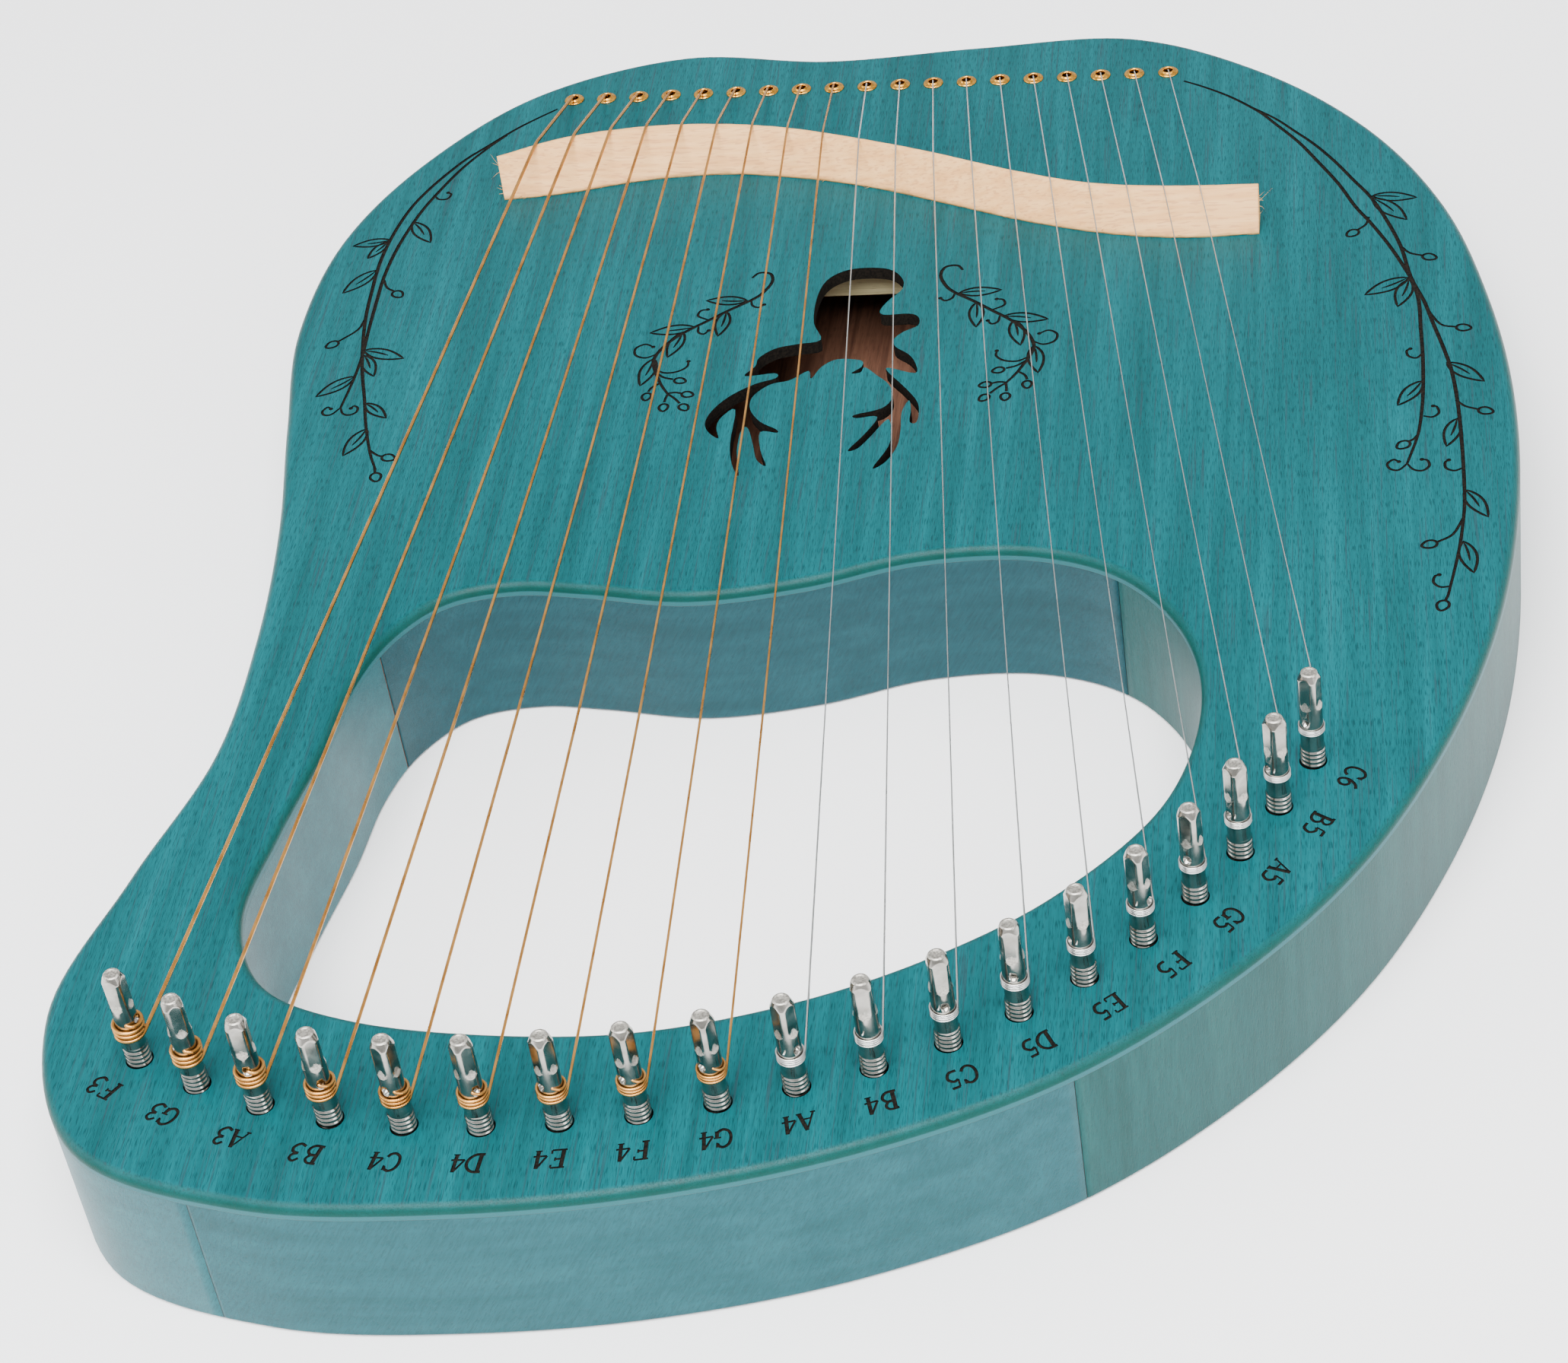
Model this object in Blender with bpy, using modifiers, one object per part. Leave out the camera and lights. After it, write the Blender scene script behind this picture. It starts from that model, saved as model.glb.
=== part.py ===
"""Nineteen-string lyre harp, lying on its back.

Frame: millimetres in the lists below, metres in the model.  The origin is under
the middle of the body on its flat back, +Z comes out of the face, +Y runs along
the grain from the tuning pins to the string block, and +X runs from the bass
strings to the treble strings.
"""
import math

import bmesh
import bpy
from mathutils import Matrix, Vector

MM = 0.001

# ---- driving dimensions, mm ----
BODY_DEPTH = 36.0          # back to face
FACE_PLATE = 3.2           # thickness of the face plate
BACK_PLATE = 3.0           # thickness of the back plate, let in flush
GAP = 0.3                  # clearance left between pieces that touch
WALL = 11.0                # frame wall round the sound box
LEDGE = 4.0                # ledge that the back plate is glued on
BOX_LOW, BOX_HIGH = 4.0, 171.0        # near and far walls of the sound box
SEAM_BASS = -104.4         # glue line, bass side plank to pin block
SEAM_BASS_FAR = -100.0     # glue line, bass side plank to rail and string block
SEAM_TREBLE = 60.5         # glue line, treble side plank to pin block and rail
SEAM_TREBLE_FAR = 68.0     # glue line, treble side plank to string block
SEAM_STEP_BASS = -74.0     # where the bass glue line steps over the arm
SEAM_STEP_TREBLE = 90.0    # where the treble glue line steps over the sound box
PIN_BLOCK_END = -90.0      # the pin block's share ends here, inside the hand hole
RAIL_END = 60.0            # the hand rail's share ends here, inside the sound box
STRING_BLOCK_START = 120.0            # the string block's share starts here, inside the sound box
BEYOND = 260.0             # farther out than any edge of the body
CUT_PAST = 2.0             # how far a cutter runs past the faces it cuts

NOTES = ("F3", "G3", "A3", "B3", "C4", "D4", "E4", "F4", "G4",
         "A4", "B4", "C5", "D5", "E5", "F5", "G5", "A5", "B5", "C6")
WOUND = 9                  # the first nine strings are bronze wound
BASS_GAUGE, WOUND_GAUGE = 0.90, 0.55  # wound strings, F3 to G4
PLAIN_GAUGE, TREBLE_GAUGE = 0.42, 0.30  # plain steel strings, A4 to C6

GROMMET_ROW_Y = 183.0      # the row where the strings come out of the face
GROMMET_MID_X = -15.4
GROMMET_PITCH = 8.64
GROMMET_FLANGE = 2.6       # radius on the face
GROMMET_BARREL = 1.8       # radius in the face plate
GROMMET_BORE = 1.15        # radius of the hole the string runs through
GROMMET_HOLE = 2.2         # radius of its hole in the face plate
GROMMET_LIFT = 0.7         # height of the flange above its seat
STRIP_HALF = 1.9           # half width of the strip under the face that joins the grommets
STRIP_THICK = 0.5
STRING_HOLE = 1.3          # radius, through the string block
BALL_POCKET = 2.7          # radius of the pocket behind each string
BALL_DEPTH = 6.0
BALL_RADIUS = 1.9          # ball end of a string
BALL_LENGTH = 3.6

PIN_RADIUS = 2.45
PIN_PROUD = 23.4           # height of a pin's top above the face
PIN_LENGTH = 44.0
PIN_HEAD = 9.4             # length of the square head
PIN_FLATS = 4.0            # across the flats of the head
PIN_EYE = 0.8              # radius of the string hole through the pin
PIN_EYE_UP = 11.4          # height of that hole above the face
PIN_HOLE = 2.95
PIN_HOLE_DEEPER = 0.9      # hole bottom below the pin's tip
PIN_SIDES = 10
HEAD_CHAMFER = 0.5

BRIDGE_TOP = 9.0           # height of the bridge above the face
BRIDGE_LAND = 1.2          # flat strip that the strings rest on
LEAVE_BASS, LEAVE_TREBLE = 7.6, 8.6   # height at which a string leaves its pin
COIL_STEPS = 12            # straight pieces in the turn of a string round its pin
COIL_RISE = 2.6            # rise of that turn, in string radii
STRING_BEND = 0.6          # a string turns from upright to level over this length

BODY_STEPS = 4             # straight pieces between two points of the body outline
HAND_STEPS = 3             # the same for the hand hole
FINE_STEPS = 8             # the same for the line of the pins and the bridge's top edge
BRIDGE_STEPS = 2           # the same for the bridge
HOLE_SIDES = 12            # pin holes
SMALL_SIDES = 8            # string holes, barrels and bores
FLANGE_SIDES = 10          # flanges, ball pockets and grommet holes
EYE_SIDES = 6
BRACE_CLEAR = 4.0          # from a brace's end to the side wall

FACE_Z = BODY_DEPTH
CORE_TOP = BODY_DEPTH - FACE_PLATE - GAP

# ---- outlines, mm ----
# Body, anticlockwise from the treble side.
BODY = ((146, 1), (146, 41), (141, 80), (131, 119), (113, 154), (86, 183), (52, 202),
        (12, 201), (-27, 198), (-66, 203), (-103, 188), (-128, 158), (-143, 122),
        (-146, 82), (-140, 43), (-133, 4), (-129, -35), (-129, -75), (-138, -113),
        (-145, -152), (-130, -188), (-94, -202), (-54, -203), (-15, -198), (23, -187),
        (59, -169), (89, -143), (113, -112), (130, -76), (141, -38))

# Hand hole, from its bass corner across the far edge.
HAND_HOLE = ((-88, -24), (-73, -20), (-57, -21.5), (-33, -25), (-8, -21), (16, -13),
             (41, -12), (62, -21), (76, -41), (80, -66), (73, -95), (53, -120.5),
             (29, -138), (3, -150), (-25, -157), (-54, -157.5), (-82, -153.5),
             (-102, -144), (-111, -124), (-109, -99), (-105, -73), (-103, -52), (-98, -36))

# Sound hole: a stag's head, neck away from the pins and antlers towards them.
STAG = (
    (-7, 99.5), (-12, 98.5), (-16, 94.5), (-17.5, 87), (-17, 77), (-14.5, 70),     # neck
    (-20, 68.5), (-25, 67), (-28.5, 63.5), (-29, 60), (-31, 56.2), (-24, 57),      # ear
    (-23.5, 55), (-28, 53), (-33, 49), (-36.5, 44), (-38, 39), (-37, 35),          # antler
    (-34, 32), (-35, 36), (-34.5, 40), (-31.5, 43), (-31, 30), (-29.5, 22),
    (-27.3, 17.5), (-29, 27), (-29, 35), (-27.5, 35.5), (-25.5, 29), (-24, 23.5),
    (-21.5, 21), (-23.5, 27), (-24.5, 34), (-20.5, 33.5), (-21, 35), (-25, 38),
    (-28, 43), (-28, 48), (-24.5, 52.5), (-20, 54), (-16, 57.5), (-15, 54.3),      # brow
    (-13, 59), (-9.5, 61.8), (-4, 61), (-3.5, 58.5), (-5.7, 56), (-3.5, 56.2),
    (-2.7, 58.2), (0.5, 54.8), (3.7, 51), (5, 46), (3, 41.8), (-3.2, 39.5),        # antler
    (-2.5, 38.2), (2.3, 38.5), (0, 32), (-3.2, 26), (-1, 26.6), (1.5, 31),
    (4.8, 37.5), (6, 33), (6, 27), (3.2, 19), (6, 21.3), (8, 27), (8.2, 33),
    (7.8, 40), (9, 44.5), (9.8, 41), (10, 36.2), (11.6, 36), (11.7, 41), (10.5, 45),
    (7, 50.5), (3, 56), (3, 57.7), (9.5, 55.2), (9, 59.5), (7, 63), (3.8, 66),     # ear
    (3, 69), (5, 72), (8.3, 74.5), (8, 78), (5.5, 79.5), (0, 79.3), (-1.5, 81),    # muzzle
    (0, 85), (3, 90), (2.5, 94.5), (-1, 98.5))

# Line of the tuning pins, bass to treble; the pins share it out evenly.
PIN_LINE = ((-121.8, -165), (-101, -175), (-79.5, -180.8), (-57.5, -182.8), (-35.5, -181.6),
            (-14, -178.4), (7.3, -173), (28.5, -165.2), (48.4, -153.8), (66, -139.5),
            (80.6, -122.8), (93, -103.6), (103.4, -82.6))

# Bridge, bass to treble: near edge on the face, and far edge along the top.
BRIDGE_NEAR = ((-103.5, 136.3), (-88, 138), (-68, 142.4), (-48, 143.8), (-28, 140.6),
               (-8, 134.4), (12, 125.4), (32, 116.4), (52, 109.8), (70, 107), (87.5, 107.4))
BRIDGE_FAR = ((-105.2, 143), (-89, 150.5), (-69.5, 154), (-50, 153.8), (-32, 150.6),
              (-12.5, 144), (6.5, 136.2), (26, 127), (45.5, 119.6), (66, 116.5), (87.5, 115.8))

# Braces: name, low and high Y, low and high Z.
BRACES = (("soundboard_brace_far", 108.0, 116.0, CORE_TOP - 11.0, CORE_TOP),
          ("soundboard_brace_near", 7.5, 15.5, CORE_TOP - 8.3, CORE_TOP),
          ("back_brace", 36.0, 44.0, BACK_PLATE + GAP, BACK_PLATE + 8.0))

STAIN = (0.012, 0.215, 0.22, 1)
SIDE_STAIN = (0.10, 0.27, 0.29, 1)
SPRUCE = (0.62, 0.47, 0.27, 1)
BEECH = (0.78, 0.58, 0.38, 1)
MAHOGANY = (0.19, 0.075, 0.035, 1)
NICKEL = (0.62, 0.60, 0.57, 1)
STEEL = (0.60, 0.60, 0.60, 1)
BRONZE = (0.70, 0.42, 0.17, 1)
BRASS = (0.80, 0.50, 0.16, 1)


# ---- points and loops ----
def catmull(a, b, c, d, t):
    """The cubic from b to c whose slopes come from a and d."""
    return 0.5 * (2 * b + (c - a) * t + (2 * a - 5 * b + 4 * c - d) * t * t
                  + (3 * b - a - 3 * c + d) * t ** 3)


def smooth_loop(points, steps):
    """A closed smooth curve through the points, with that many steps between two."""
    knots = [Vector(p) for p in points]
    count = len(knots)
    return [catmull(knots[i - 1], knots[i], knots[(i + 1) % count], knots[(i + 2) % count], s / steps)
            for i in range(count) for s in range(steps)]


def smooth_line(points, steps):
    """An open smooth curve through the points."""
    knots = [Vector(p) for p in points]
    knots = [2 * knots[0] - knots[1]] + knots + [2 * knots[-1] - knots[-2]]
    line = [catmull(*knots[i:i + 4], s / steps) for i in range(len(knots) - 3) for s in range(steps)]
    return line + [knots[-2]]


def shared_out(line, count):
    """Points at equal distances along a line, both ends included."""
    lengths = [0.0]
    for a, b in zip(line, line[1:]):
        lengths.append(lengths[-1] + (b - a).length)
    points = []
    for k in range(count):
        wanted = lengths[-1] * k / (count - 1)
        i = max(j for j in range(len(line) - 1) if lengths[j] <= wanted)
        part = (wanted - lengths[i]) / (lengths[i + 1] - lengths[i])
        points.append(line[i].lerp(line[i + 1], part))
    return points


def moved_in(loop, distance):
    """The anticlockwise loop with each point moved inwards, square to its neighbours."""
    moved = []
    for i, point in enumerate(loop):
        along = (loop[(i + 1) % len(loop)] - loop[i - 1]).normalized()
        moved.append(point + Vector((-along.y, along.x)) * distance)
    return moved


def cut_at(loop, level, keep_above):
    """The part of the loop on one side of the line y = level."""
    side = 1 if keep_above else -1
    kept = []
    for i, point in enumerate(loop):
        last = loop[i - 1]
        if (point.y - level) * (last.y - level) < 0:
            kept.append(last.lerp(point, (level - last.y) / (point.y - last.y)))
        if (point.y - level) * side >= 0:
            kept.append(point)
    return kept


def sound_box(grow):
    """The sound box's outline, grown by a distance on every side."""
    loop = moved_in(smooth_loop(BODY, 4), WALL - grow)
    loop = cut_at(loop, BOX_LOW - grow, True)
    return cut_at(loop, BOX_HIGH + grow, False)


def circle(x, y, radius, sides):
    turn = 2 * math.pi / sides
    return [Vector((x + radius * math.cos(turn * (k + 0.5)), y + radius * math.sin(turn * (k + 0.5))))
            for k in range(sides)]


def rectangle(x0, y0, x1, y1):
    return [Vector((x0, y0)), Vector((x1, y0)), Vector((x1, y1)), Vector((x0, y1))]


# ---- places ----
def pin_places():
    return shared_out(smooth_line(PIN_LINE, FINE_STEPS), len(NOTES))


def grommet_places():
    first = GROMMET_MID_X - GROMMET_PITCH * (len(NOTES) - 1) / 2
    return [Vector((first + GROMMET_PITCH * k, GROMMET_ROW_Y)) for k in range(len(NOTES))]


def string_radius(k):
    if k < WOUND:
        gauge = BASS_GAUGE + (WOUND_GAUGE - BASS_GAUGE) * k / (WOUND - 1)
    else:
        gauge = PLAIN_GAUGE + (TREBLE_GAUGE - PLAIN_GAUGE) * (k - WOUND) / (len(NOTES) - 1 - WOUND)
    return gauge / 2


def crossing(line, start, end):
    """Where the straight line from start to end crosses the bridge's top edge."""
    way = end - start
    for a, b in zip(line, line[1:]):
        step = b - a
        turn = way.x * step.y - way.y * step.x
        part = ((start.y - a.y) * way.x - (start.x - a.x) * way.y) / turn
        if 0 <= part <= 1:
            return a + step * part
    raise ValueError("a string misses the bridge")


# ---- building blocks ----
def clear_scene():
    for item in list(bpy.data.objects):
        bpy.data.objects.remove(item, do_unlink=True)


def new_collection(name):
    made = bpy.data.collections.new(name)
    bpy.context.scene.collection.children.link(made)
    return made


def material(name, colour, roughness, metallic=0.0):
    made = bpy.data.materials.new(name)
    made.use_nodes = True
    shader = made.node_tree.nodes["Principled BSDF"]
    shader.inputs["Base Color"].default_value = colour
    shader.inputs["Roughness"].default_value = roughness
    shader.inputs["Metallic"].default_value = metallic
    made.diffuse_color = colour
    return made


def new_object(name, data, group, paint=None):
    made = bpy.data.objects.new(name, data)
    group.objects.link(made)
    if paint is not None:
        data.materials.append(paint)
    return made


def as_mesh(curve_object, merge=0.00001):
    """The curve's evaluated shape as a mesh object, its caps welded on."""
    bpy.context.view_layer.update()
    graph = bpy.context.evaluated_depsgraph_get()
    data = bpy.data.meshes.new_from_object(curve_object.evaluated_get(graph))
    shape = bmesh.new()
    shape.from_mesh(data)
    bmesh.ops.remove_doubles(shape, verts=shape.verts, dist=merge)
    bmesh.ops.recalc_face_normals(shape, faces=shape.faces)
    shape.to_mesh(data)
    shape.free()
    name = curve_object.name
    made = bpy.data.objects.new(name, data)
    made.matrix_world = curve_object.matrix_world
    curve_object.users_collection[0].objects.link(made)
    bpy.data.objects.remove(curve_object, do_unlink=True)
    made.name = name
    return made


def flat_piece(name, loops, low, high, group, paint=None):
    """A flat outline with holes, made solid from height low to height high."""
    curve = bpy.data.curves.new(name, "CURVE")
    curve.dimensions = "2D"
    curve.fill_mode = "BOTH"
    curve.extrude = (high - low) * MM / 2
    for loop in loops:
        spline = curve.splines.new("POLY")
        spline.points.add(len(loop) - 1)
        for point, place in zip(spline.points, loop):
            point.co = (place[0] * MM, place[1] * MM, 0, 1)
        spline.use_cyclic_u = True
    made = new_object(name, curve, group, paint)
    made.location.z = (low + high) * MM / 2
    return as_mesh(made)


def cutter(made):
    made.hide_render = True
    made.display_type = "WIRE"
    return made


def boolean(made, tool, operation):
    step = made.modifiers.new(operation.lower(), "BOOLEAN")
    step.operation = operation
    step.solver = "EXACT"
    step.object = tool


def joined(shapes, name):
    """One mesh holding copies of several bmesh shapes, which do not touch."""
    whole = bpy.data.meshes.new(name)
    sum_of = bmesh.new()
    for shape in shapes:
        part = bpy.data.meshes.new("part")
        shape.to_mesh(part)
        shape.free()
        sum_of.from_mesh(part)
        bpy.data.meshes.remove(part)
    sum_of.to_mesh(whole)
    sum_of.free()
    return whole


def cylinder(x, y, low, high, radius, sides):
    shape = bmesh.new()
    bmesh.ops.create_cone(shape, cap_ends=True, segments=sides, radius1=radius * MM,
                          radius2=radius * MM, depth=(high - low) * MM)
    bmesh.ops.rotate(shape, verts=shape.verts, cent=(0, 0, 0),
                     matrix=Matrix.Rotation(math.pi / sides, 3, "Z"))
    bmesh.ops.translate(shape, verts=shape.verts, vec=(x * MM, y * MM, (low + high) * MM / 2))
    return shape


# ---- body ----
def face_plate(group, paint):
    loops = [smooth_loop(BODY, BODY_STEPS), smooth_loop(HAND_HOLE, HAND_STEPS), [Vector(p) for p in STAG]]
    loops += [circle(p.x, p.y, PIN_HOLE, HOLE_SIDES) for p in pin_places()]
    loops += [circle(p.x, p.y, GROMMET_HOLE, FLANGE_SIDES) for p in grommet_places()]
    flat_piece("face_plate", loops, BODY_DEPTH - FACE_PLATE, BODY_DEPTH, group, paint)


def back_plate(group, paint):
    flat_piece("back_plate", [sound_box(LEDGE)], 0, BACK_PLATE, group, paint)


def frame_blocks(group, cutters, paint):
    """Five planks and blocks glued edge to edge into the ring between the plates."""
    half = GAP / 2
    bass = [(-BEYOND, -BEYOND), (SEAM_BASS - half, -BEYOND), (SEAM_BASS - half, SEAM_STEP_BASS),
            (SEAM_BASS_FAR - half, SEAM_STEP_BASS), (SEAM_BASS_FAR - half, BEYOND), (-BEYOND, BEYOND)]
    treble = [(SEAM_TREBLE + half, -BEYOND), (BEYOND, -BEYOND), (BEYOND, BEYOND),
              (SEAM_TREBLE_FAR + half, BEYOND), (SEAM_TREBLE_FAR + half, SEAM_STEP_TREBLE),
              (SEAM_TREBLE + half, SEAM_STEP_TREBLE)]
    shares = (
        ("bass_side_plank", bass),
        ("treble_side_plank", treble),
        ("pin_block", rectangle(SEAM_BASS + half, -BEYOND, SEAM_TREBLE - half, PIN_BLOCK_END)),
        ("hand_rail", rectangle(SEAM_BASS_FAR + half, SEAM_STEP_BASS, SEAM_TREBLE - half, RAIL_END)),
        ("string_block",
         rectangle(SEAM_BASS_FAR + half, STRING_BLOCK_START, SEAM_TREBLE_FAR - half, BEYOND)))

    over = CORE_TOP + CUT_PAST
    rebate = cutter(flat_piece("rebate_cutter", [sound_box(LEDGE + GAP)], -CUT_PAST, BACK_PLATE + GAP,
                               cutters))
    bottom = FACE_Z + PIN_PROUD - PIN_LENGTH - PIN_HOLE_DEEPER
    holes = [cylinder(p.x, p.y, bottom, over, PIN_HOLE, HOLE_SIDES) for p in pin_places()]
    pin_holes = cutter(new_object("pin_hole_cutter", joined(holes, "pin_hole_cutter"), cutters))
    holes = [cylinder(p.x, p.y, -CUT_PAST, over, STRING_HOLE, SMALL_SIDES) for p in grommet_places()]
    string_holes = cutter(new_object("string_hole_cutter", joined(holes, "string_hole_cutter"), cutters))
    pockets = [cylinder(p.x, p.y, -CUT_PAST, BALL_DEPTH, BALL_POCKET, FLANGE_SIDES)
               for p in grommet_places()]
    ball_pockets = cutter(new_object("ball_pocket_cutter", joined(pockets, "ball_pocket_cutter"), cutters))
    first, last = grommet_places()[0].x, grommet_places()[-1].x
    reach = STRIP_HALF + GAP
    groove_loop = rectangle(first - reach, GROMMET_ROW_Y - reach, last + reach, GROMMET_ROW_Y + reach)
    groove_bottom = CORE_TOP - STRIP_THICK - GAP
    groove = cutter(flat_piece("groove_cutter", [groove_loop], groove_bottom, over, cutters))

    ring = [smooth_loop(BODY, BODY_STEPS), smooth_loop(HAND_HOLE, HAND_STEPS), sound_box(0)]
    for name, share in shares:
        block = flat_piece(name, ring, 0, CORE_TOP, group, paint)
        keep = cutter(flat_piece(name + "_share", [share], -CUT_PAST, over, cutters))
        boolean(block, keep, "INTERSECT")
        if name != "pin_block":
            boolean(block, rebate, "DIFFERENCE")
        if name in ("bass_side_plank", "treble_side_plank", "pin_block"):
            boolean(block, pin_holes, "DIFFERENCE")
        if name == "string_block":
            boolean(block, string_holes, "DIFFERENCE")
            boolean(block, ball_pockets, "DIFFERENCE")
            boolean(block, groove, "DIFFERENCE")


def braces(group, paint):
    box = sound_box(0)
    for name, near, far, low, high in BRACES:
        inside = [p.x for p in cut_at(cut_at(box, near, True), far, False)]
        right = min(x for x in inside if x > 0) - BRACE_CLEAR
        left = max(x for x in inside if x < 0) + BRACE_CLEAR
        flat_piece(name, [rectangle(left, near, right, far)], low, high, group, paint)


def bridge(group, paint):
    """A wedge that follows the S of the bridge: sloped front, narrow flat top, upright back."""
    near = smooth_line(BRIDGE_NEAR, BRIDGE_STEPS)
    far = smooth_line(BRIDGE_FAR, BRIDGE_STEPS)
    base, top = FACE_Z + GAP, FACE_Z + BRIDGE_TOP
    shape = bmesh.new()
    rows = []
    for low, high in zip(near, far):
        land = high + (low - high).normalized() * BRIDGE_LAND
        section = ((low, base), (land, top), (high, top), (high, base))
        rows.append([shape.verts.new((p.x * MM, p.y * MM, z * MM)) for p, z in section])
    for a, b in zip(rows, rows[1:]):
        for k in range(4):
            shape.faces.new((a[k], a[k - 1], b[k - 1], b[k]))
    shape.faces.new(rows[0])
    shape.faces.new(reversed(rows[-1]))
    bmesh.ops.recalc_face_normals(shape, faces=shape.faces)
    data = bpy.data.meshes.new("bridge")
    shape.to_mesh(data)
    shape.free()
    new_object("bridge", data, group, paint)


# ---- strings and their fittings ----
def grommets(group, cutters, paint):
    """Nineteen flanged eyelets on a thin strip that lies hidden under the face plate."""
    places = grommet_places()
    strip_low = CORE_TOP - STRIP_THICK
    strip = rectangle(places[0].x - STRIP_HALF, GROMMET_ROW_Y - STRIP_HALF,
                      places[-1].x + STRIP_HALF, GROMMET_ROW_Y + STRIP_HALF)
    made = flat_piece("string_grommets", [strip], strip_low, CORE_TOP, group, paint)
    seat = FACE_Z + GAP
    barrels = [cylinder(p.x, p.y, strip_low + 0.1, seat + 0.3, GROMMET_BARREL, SMALL_SIDES) for p in places]
    flanges = [cylinder(p.x, p.y, seat, seat + GROMMET_LIFT, GROMMET_FLANGE, FLANGE_SIDES) for p in places]
    bores = [cylinder(p.x, p.y, strip_low - CUT_PAST, seat + GROMMET_LIFT + CUT_PAST, GROMMET_BORE,
                      SMALL_SIDES) for p in places]
    for name, shapes, operation in (("barrels", barrels, "UNION"), ("flanges", flanges, "UNION"),
                                    ("bores", bores, "DIFFERENCE")):
        tool = cutter(new_object("grommet_" + name, joined(shapes, name), cutters))
        boolean(made, tool, operation)


def pin_mesh(group, cutters, paint):
    """A round shank with a string hole and a square head, its foot at the origin."""
    round_end = PIN_LENGTH - PIN_HEAD
    shank = cylinder(0, 0, 0, round_end, PIN_RADIUS, PIN_SIDES)
    made = new_object("pin_shape", joined([shank], "pin_shape"), group, paint)
    head = bmesh.new()
    bmesh.ops.create_cube(head, size=1)
    length = PIN_HEAD + 1
    bmesh.ops.scale(head, verts=head.verts, vec=(PIN_FLATS * MM, PIN_FLATS * MM, length * MM))
    bmesh.ops.translate(head, verts=head.verts, vec=(0, 0, (PIN_LENGTH - length / 2) * MM))
    square = cutter(new_object("pin_head", joined([head], "pin_head"), cutters))
    top = square.modifiers.new("chamfer", "BEVEL")
    top.width = HEAD_CHAMFER * MM
    top.segments = 1
    eye = cylinder(0, 0, -PIN_RADIUS * 2, PIN_RADIUS * 2, PIN_EYE, EYE_SIDES)
    bmesh.ops.rotate(eye, verts=eye.verts, cent=(0, 0, 0),
                     matrix=Matrix.Rotation(math.pi / 2, 3, "X"))
    up = PIN_LENGTH - PIN_PROUD + PIN_EYE_UP
    bmesh.ops.translate(eye, verts=eye.verts, vec=(0, 0, up * MM))
    hole = cutter(new_object("pin_eye", joined([eye], "pin_eye"), cutters))
    boolean(made, square, "UNION")
    boolean(made, hole, "DIFFERENCE")
    return as_mesh(made).data


def tuning_pins(group, cutters, paint):
    template = pin_mesh(group, cutters, paint)
    foot = FACE_Z + PIN_PROUD - PIN_LENGTH
    for note, place in zip(NOTES, pin_places()):
        pin = new_object("tuning_pin_" + note, template, group)
        pin.location = (place.x * MM, place.y * MM, foot * MM)
    bpy.data.objects.remove(bpy.data.objects["pin_shape"], do_unlink=True)


def string_route(k, hole, pin, edge):
    """Points of one string, ball end to pin, with the radius at each as a share of its own."""
    radius = string_radius(k)
    fat = BALL_RADIUS / radius
    ball = (BALL_DEPTH - BALL_LENGTH) / 2
    share = k / (len(NOTES) - 1)
    leave = FACE_Z + LEAVE_BASS + (LEAVE_TREBLE - LEAVE_BASS) * share
    wrap = (PIN_RADIUS + radius + GAP) / math.cos(math.pi / COIL_STEPS)
    rest = crossing(edge, hole, Vector((pin.x + wrap, pin.y)))
    mouth = FACE_Z + GAP + GROMMET_LIFT + radius
    route = [((hole.x, hole.y, ball), fat), ((hole.x, hole.y, ball + BALL_LENGTH), fat),
             ((hole.x, hole.y, ball + BALL_LENGTH + 0.2), 1), ((hole.x, hole.y, mouth - STRING_BEND), 1),
             ((hole.x, hole.y - STRING_BEND, mouth + 0.1), 1)]
    route.append(((rest.x, rest.y, FACE_Z + BRIDGE_TOP + GAP + radius), 1))
    for s in range(COIL_STEPS + 1):
        angle = -2 * math.pi * s / COIL_STEPS
        height = leave + COIL_RISE * radius * s / COIL_STEPS
        place = (pin.x + wrap * math.cos(angle), pin.y + wrap * math.sin(angle), height)
        route.append((place, 1))
    return route, radius


def strings(group, wound, plain):
    edge = smooth_line(BRIDGE_FAR, FINE_STEPS)
    for k, note in enumerate(NOTES):
        route, radius = string_route(k, grommet_places()[k], pin_places()[k], edge)
        curve = bpy.data.curves.new("string_" + note, "CURVE")
        curve.dimensions = "3D"
        curve.bevel_depth = radius * MM
        curve.bevel_resolution = 1
        curve.use_fill_caps = True
        spline = curve.splines.new("POLY")
        spline.points.add(len(route) - 1)
        for point, (place, share) in zip(spline.points, route):
            point.co = (place[0] * MM, place[1] * MM, place[2] * MM, 1)
            point.radius = share
        made = new_object("string_" + note, curve, group, wound if k < WOUND else plain)
        as_mesh(made)


def build():
    clear_scene()
    group = new_collection("lyre_harp")
    cutters = new_collection("lyre_harp_cutters")
    stain = material("teal_stained_mahogany", STAIN, 0.45)
    side_stain = material("teal_stained_sides", SIDE_STAIN, 0.5)
    back_wood = material("mahogany", MAHOGANY, 0.6)
    spruce = material("spruce", SPRUCE, 0.6)
    beech = material("beech", BEECH, 0.6)
    nickel = material("nickel_plated_steel", NICKEL, 0.22, 1.0)
    bronze = material("bronze_winding", BRONZE, 0.35, 1.0)
    steel = material("plain_steel", STEEL, 0.25, 1.0)
    brass = material("brass", BRASS, 0.25, 1.0)

    face_plate(group, stain)
    back_plate(group, back_wood)
    frame_blocks(group, cutters, side_stain)
    braces(group, spruce)
    bridge(group, beech)
    grommets(group, cutters, brass)
    tuning_pins(group, cutters, nickel)
    strings(group, bronze, steel)


build()
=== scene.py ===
import bmesh
import bpy
import numpy as np
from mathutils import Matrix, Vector
from mathutils.geometry import delaunay_2d_cdt, tessellate_polygon


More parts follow.
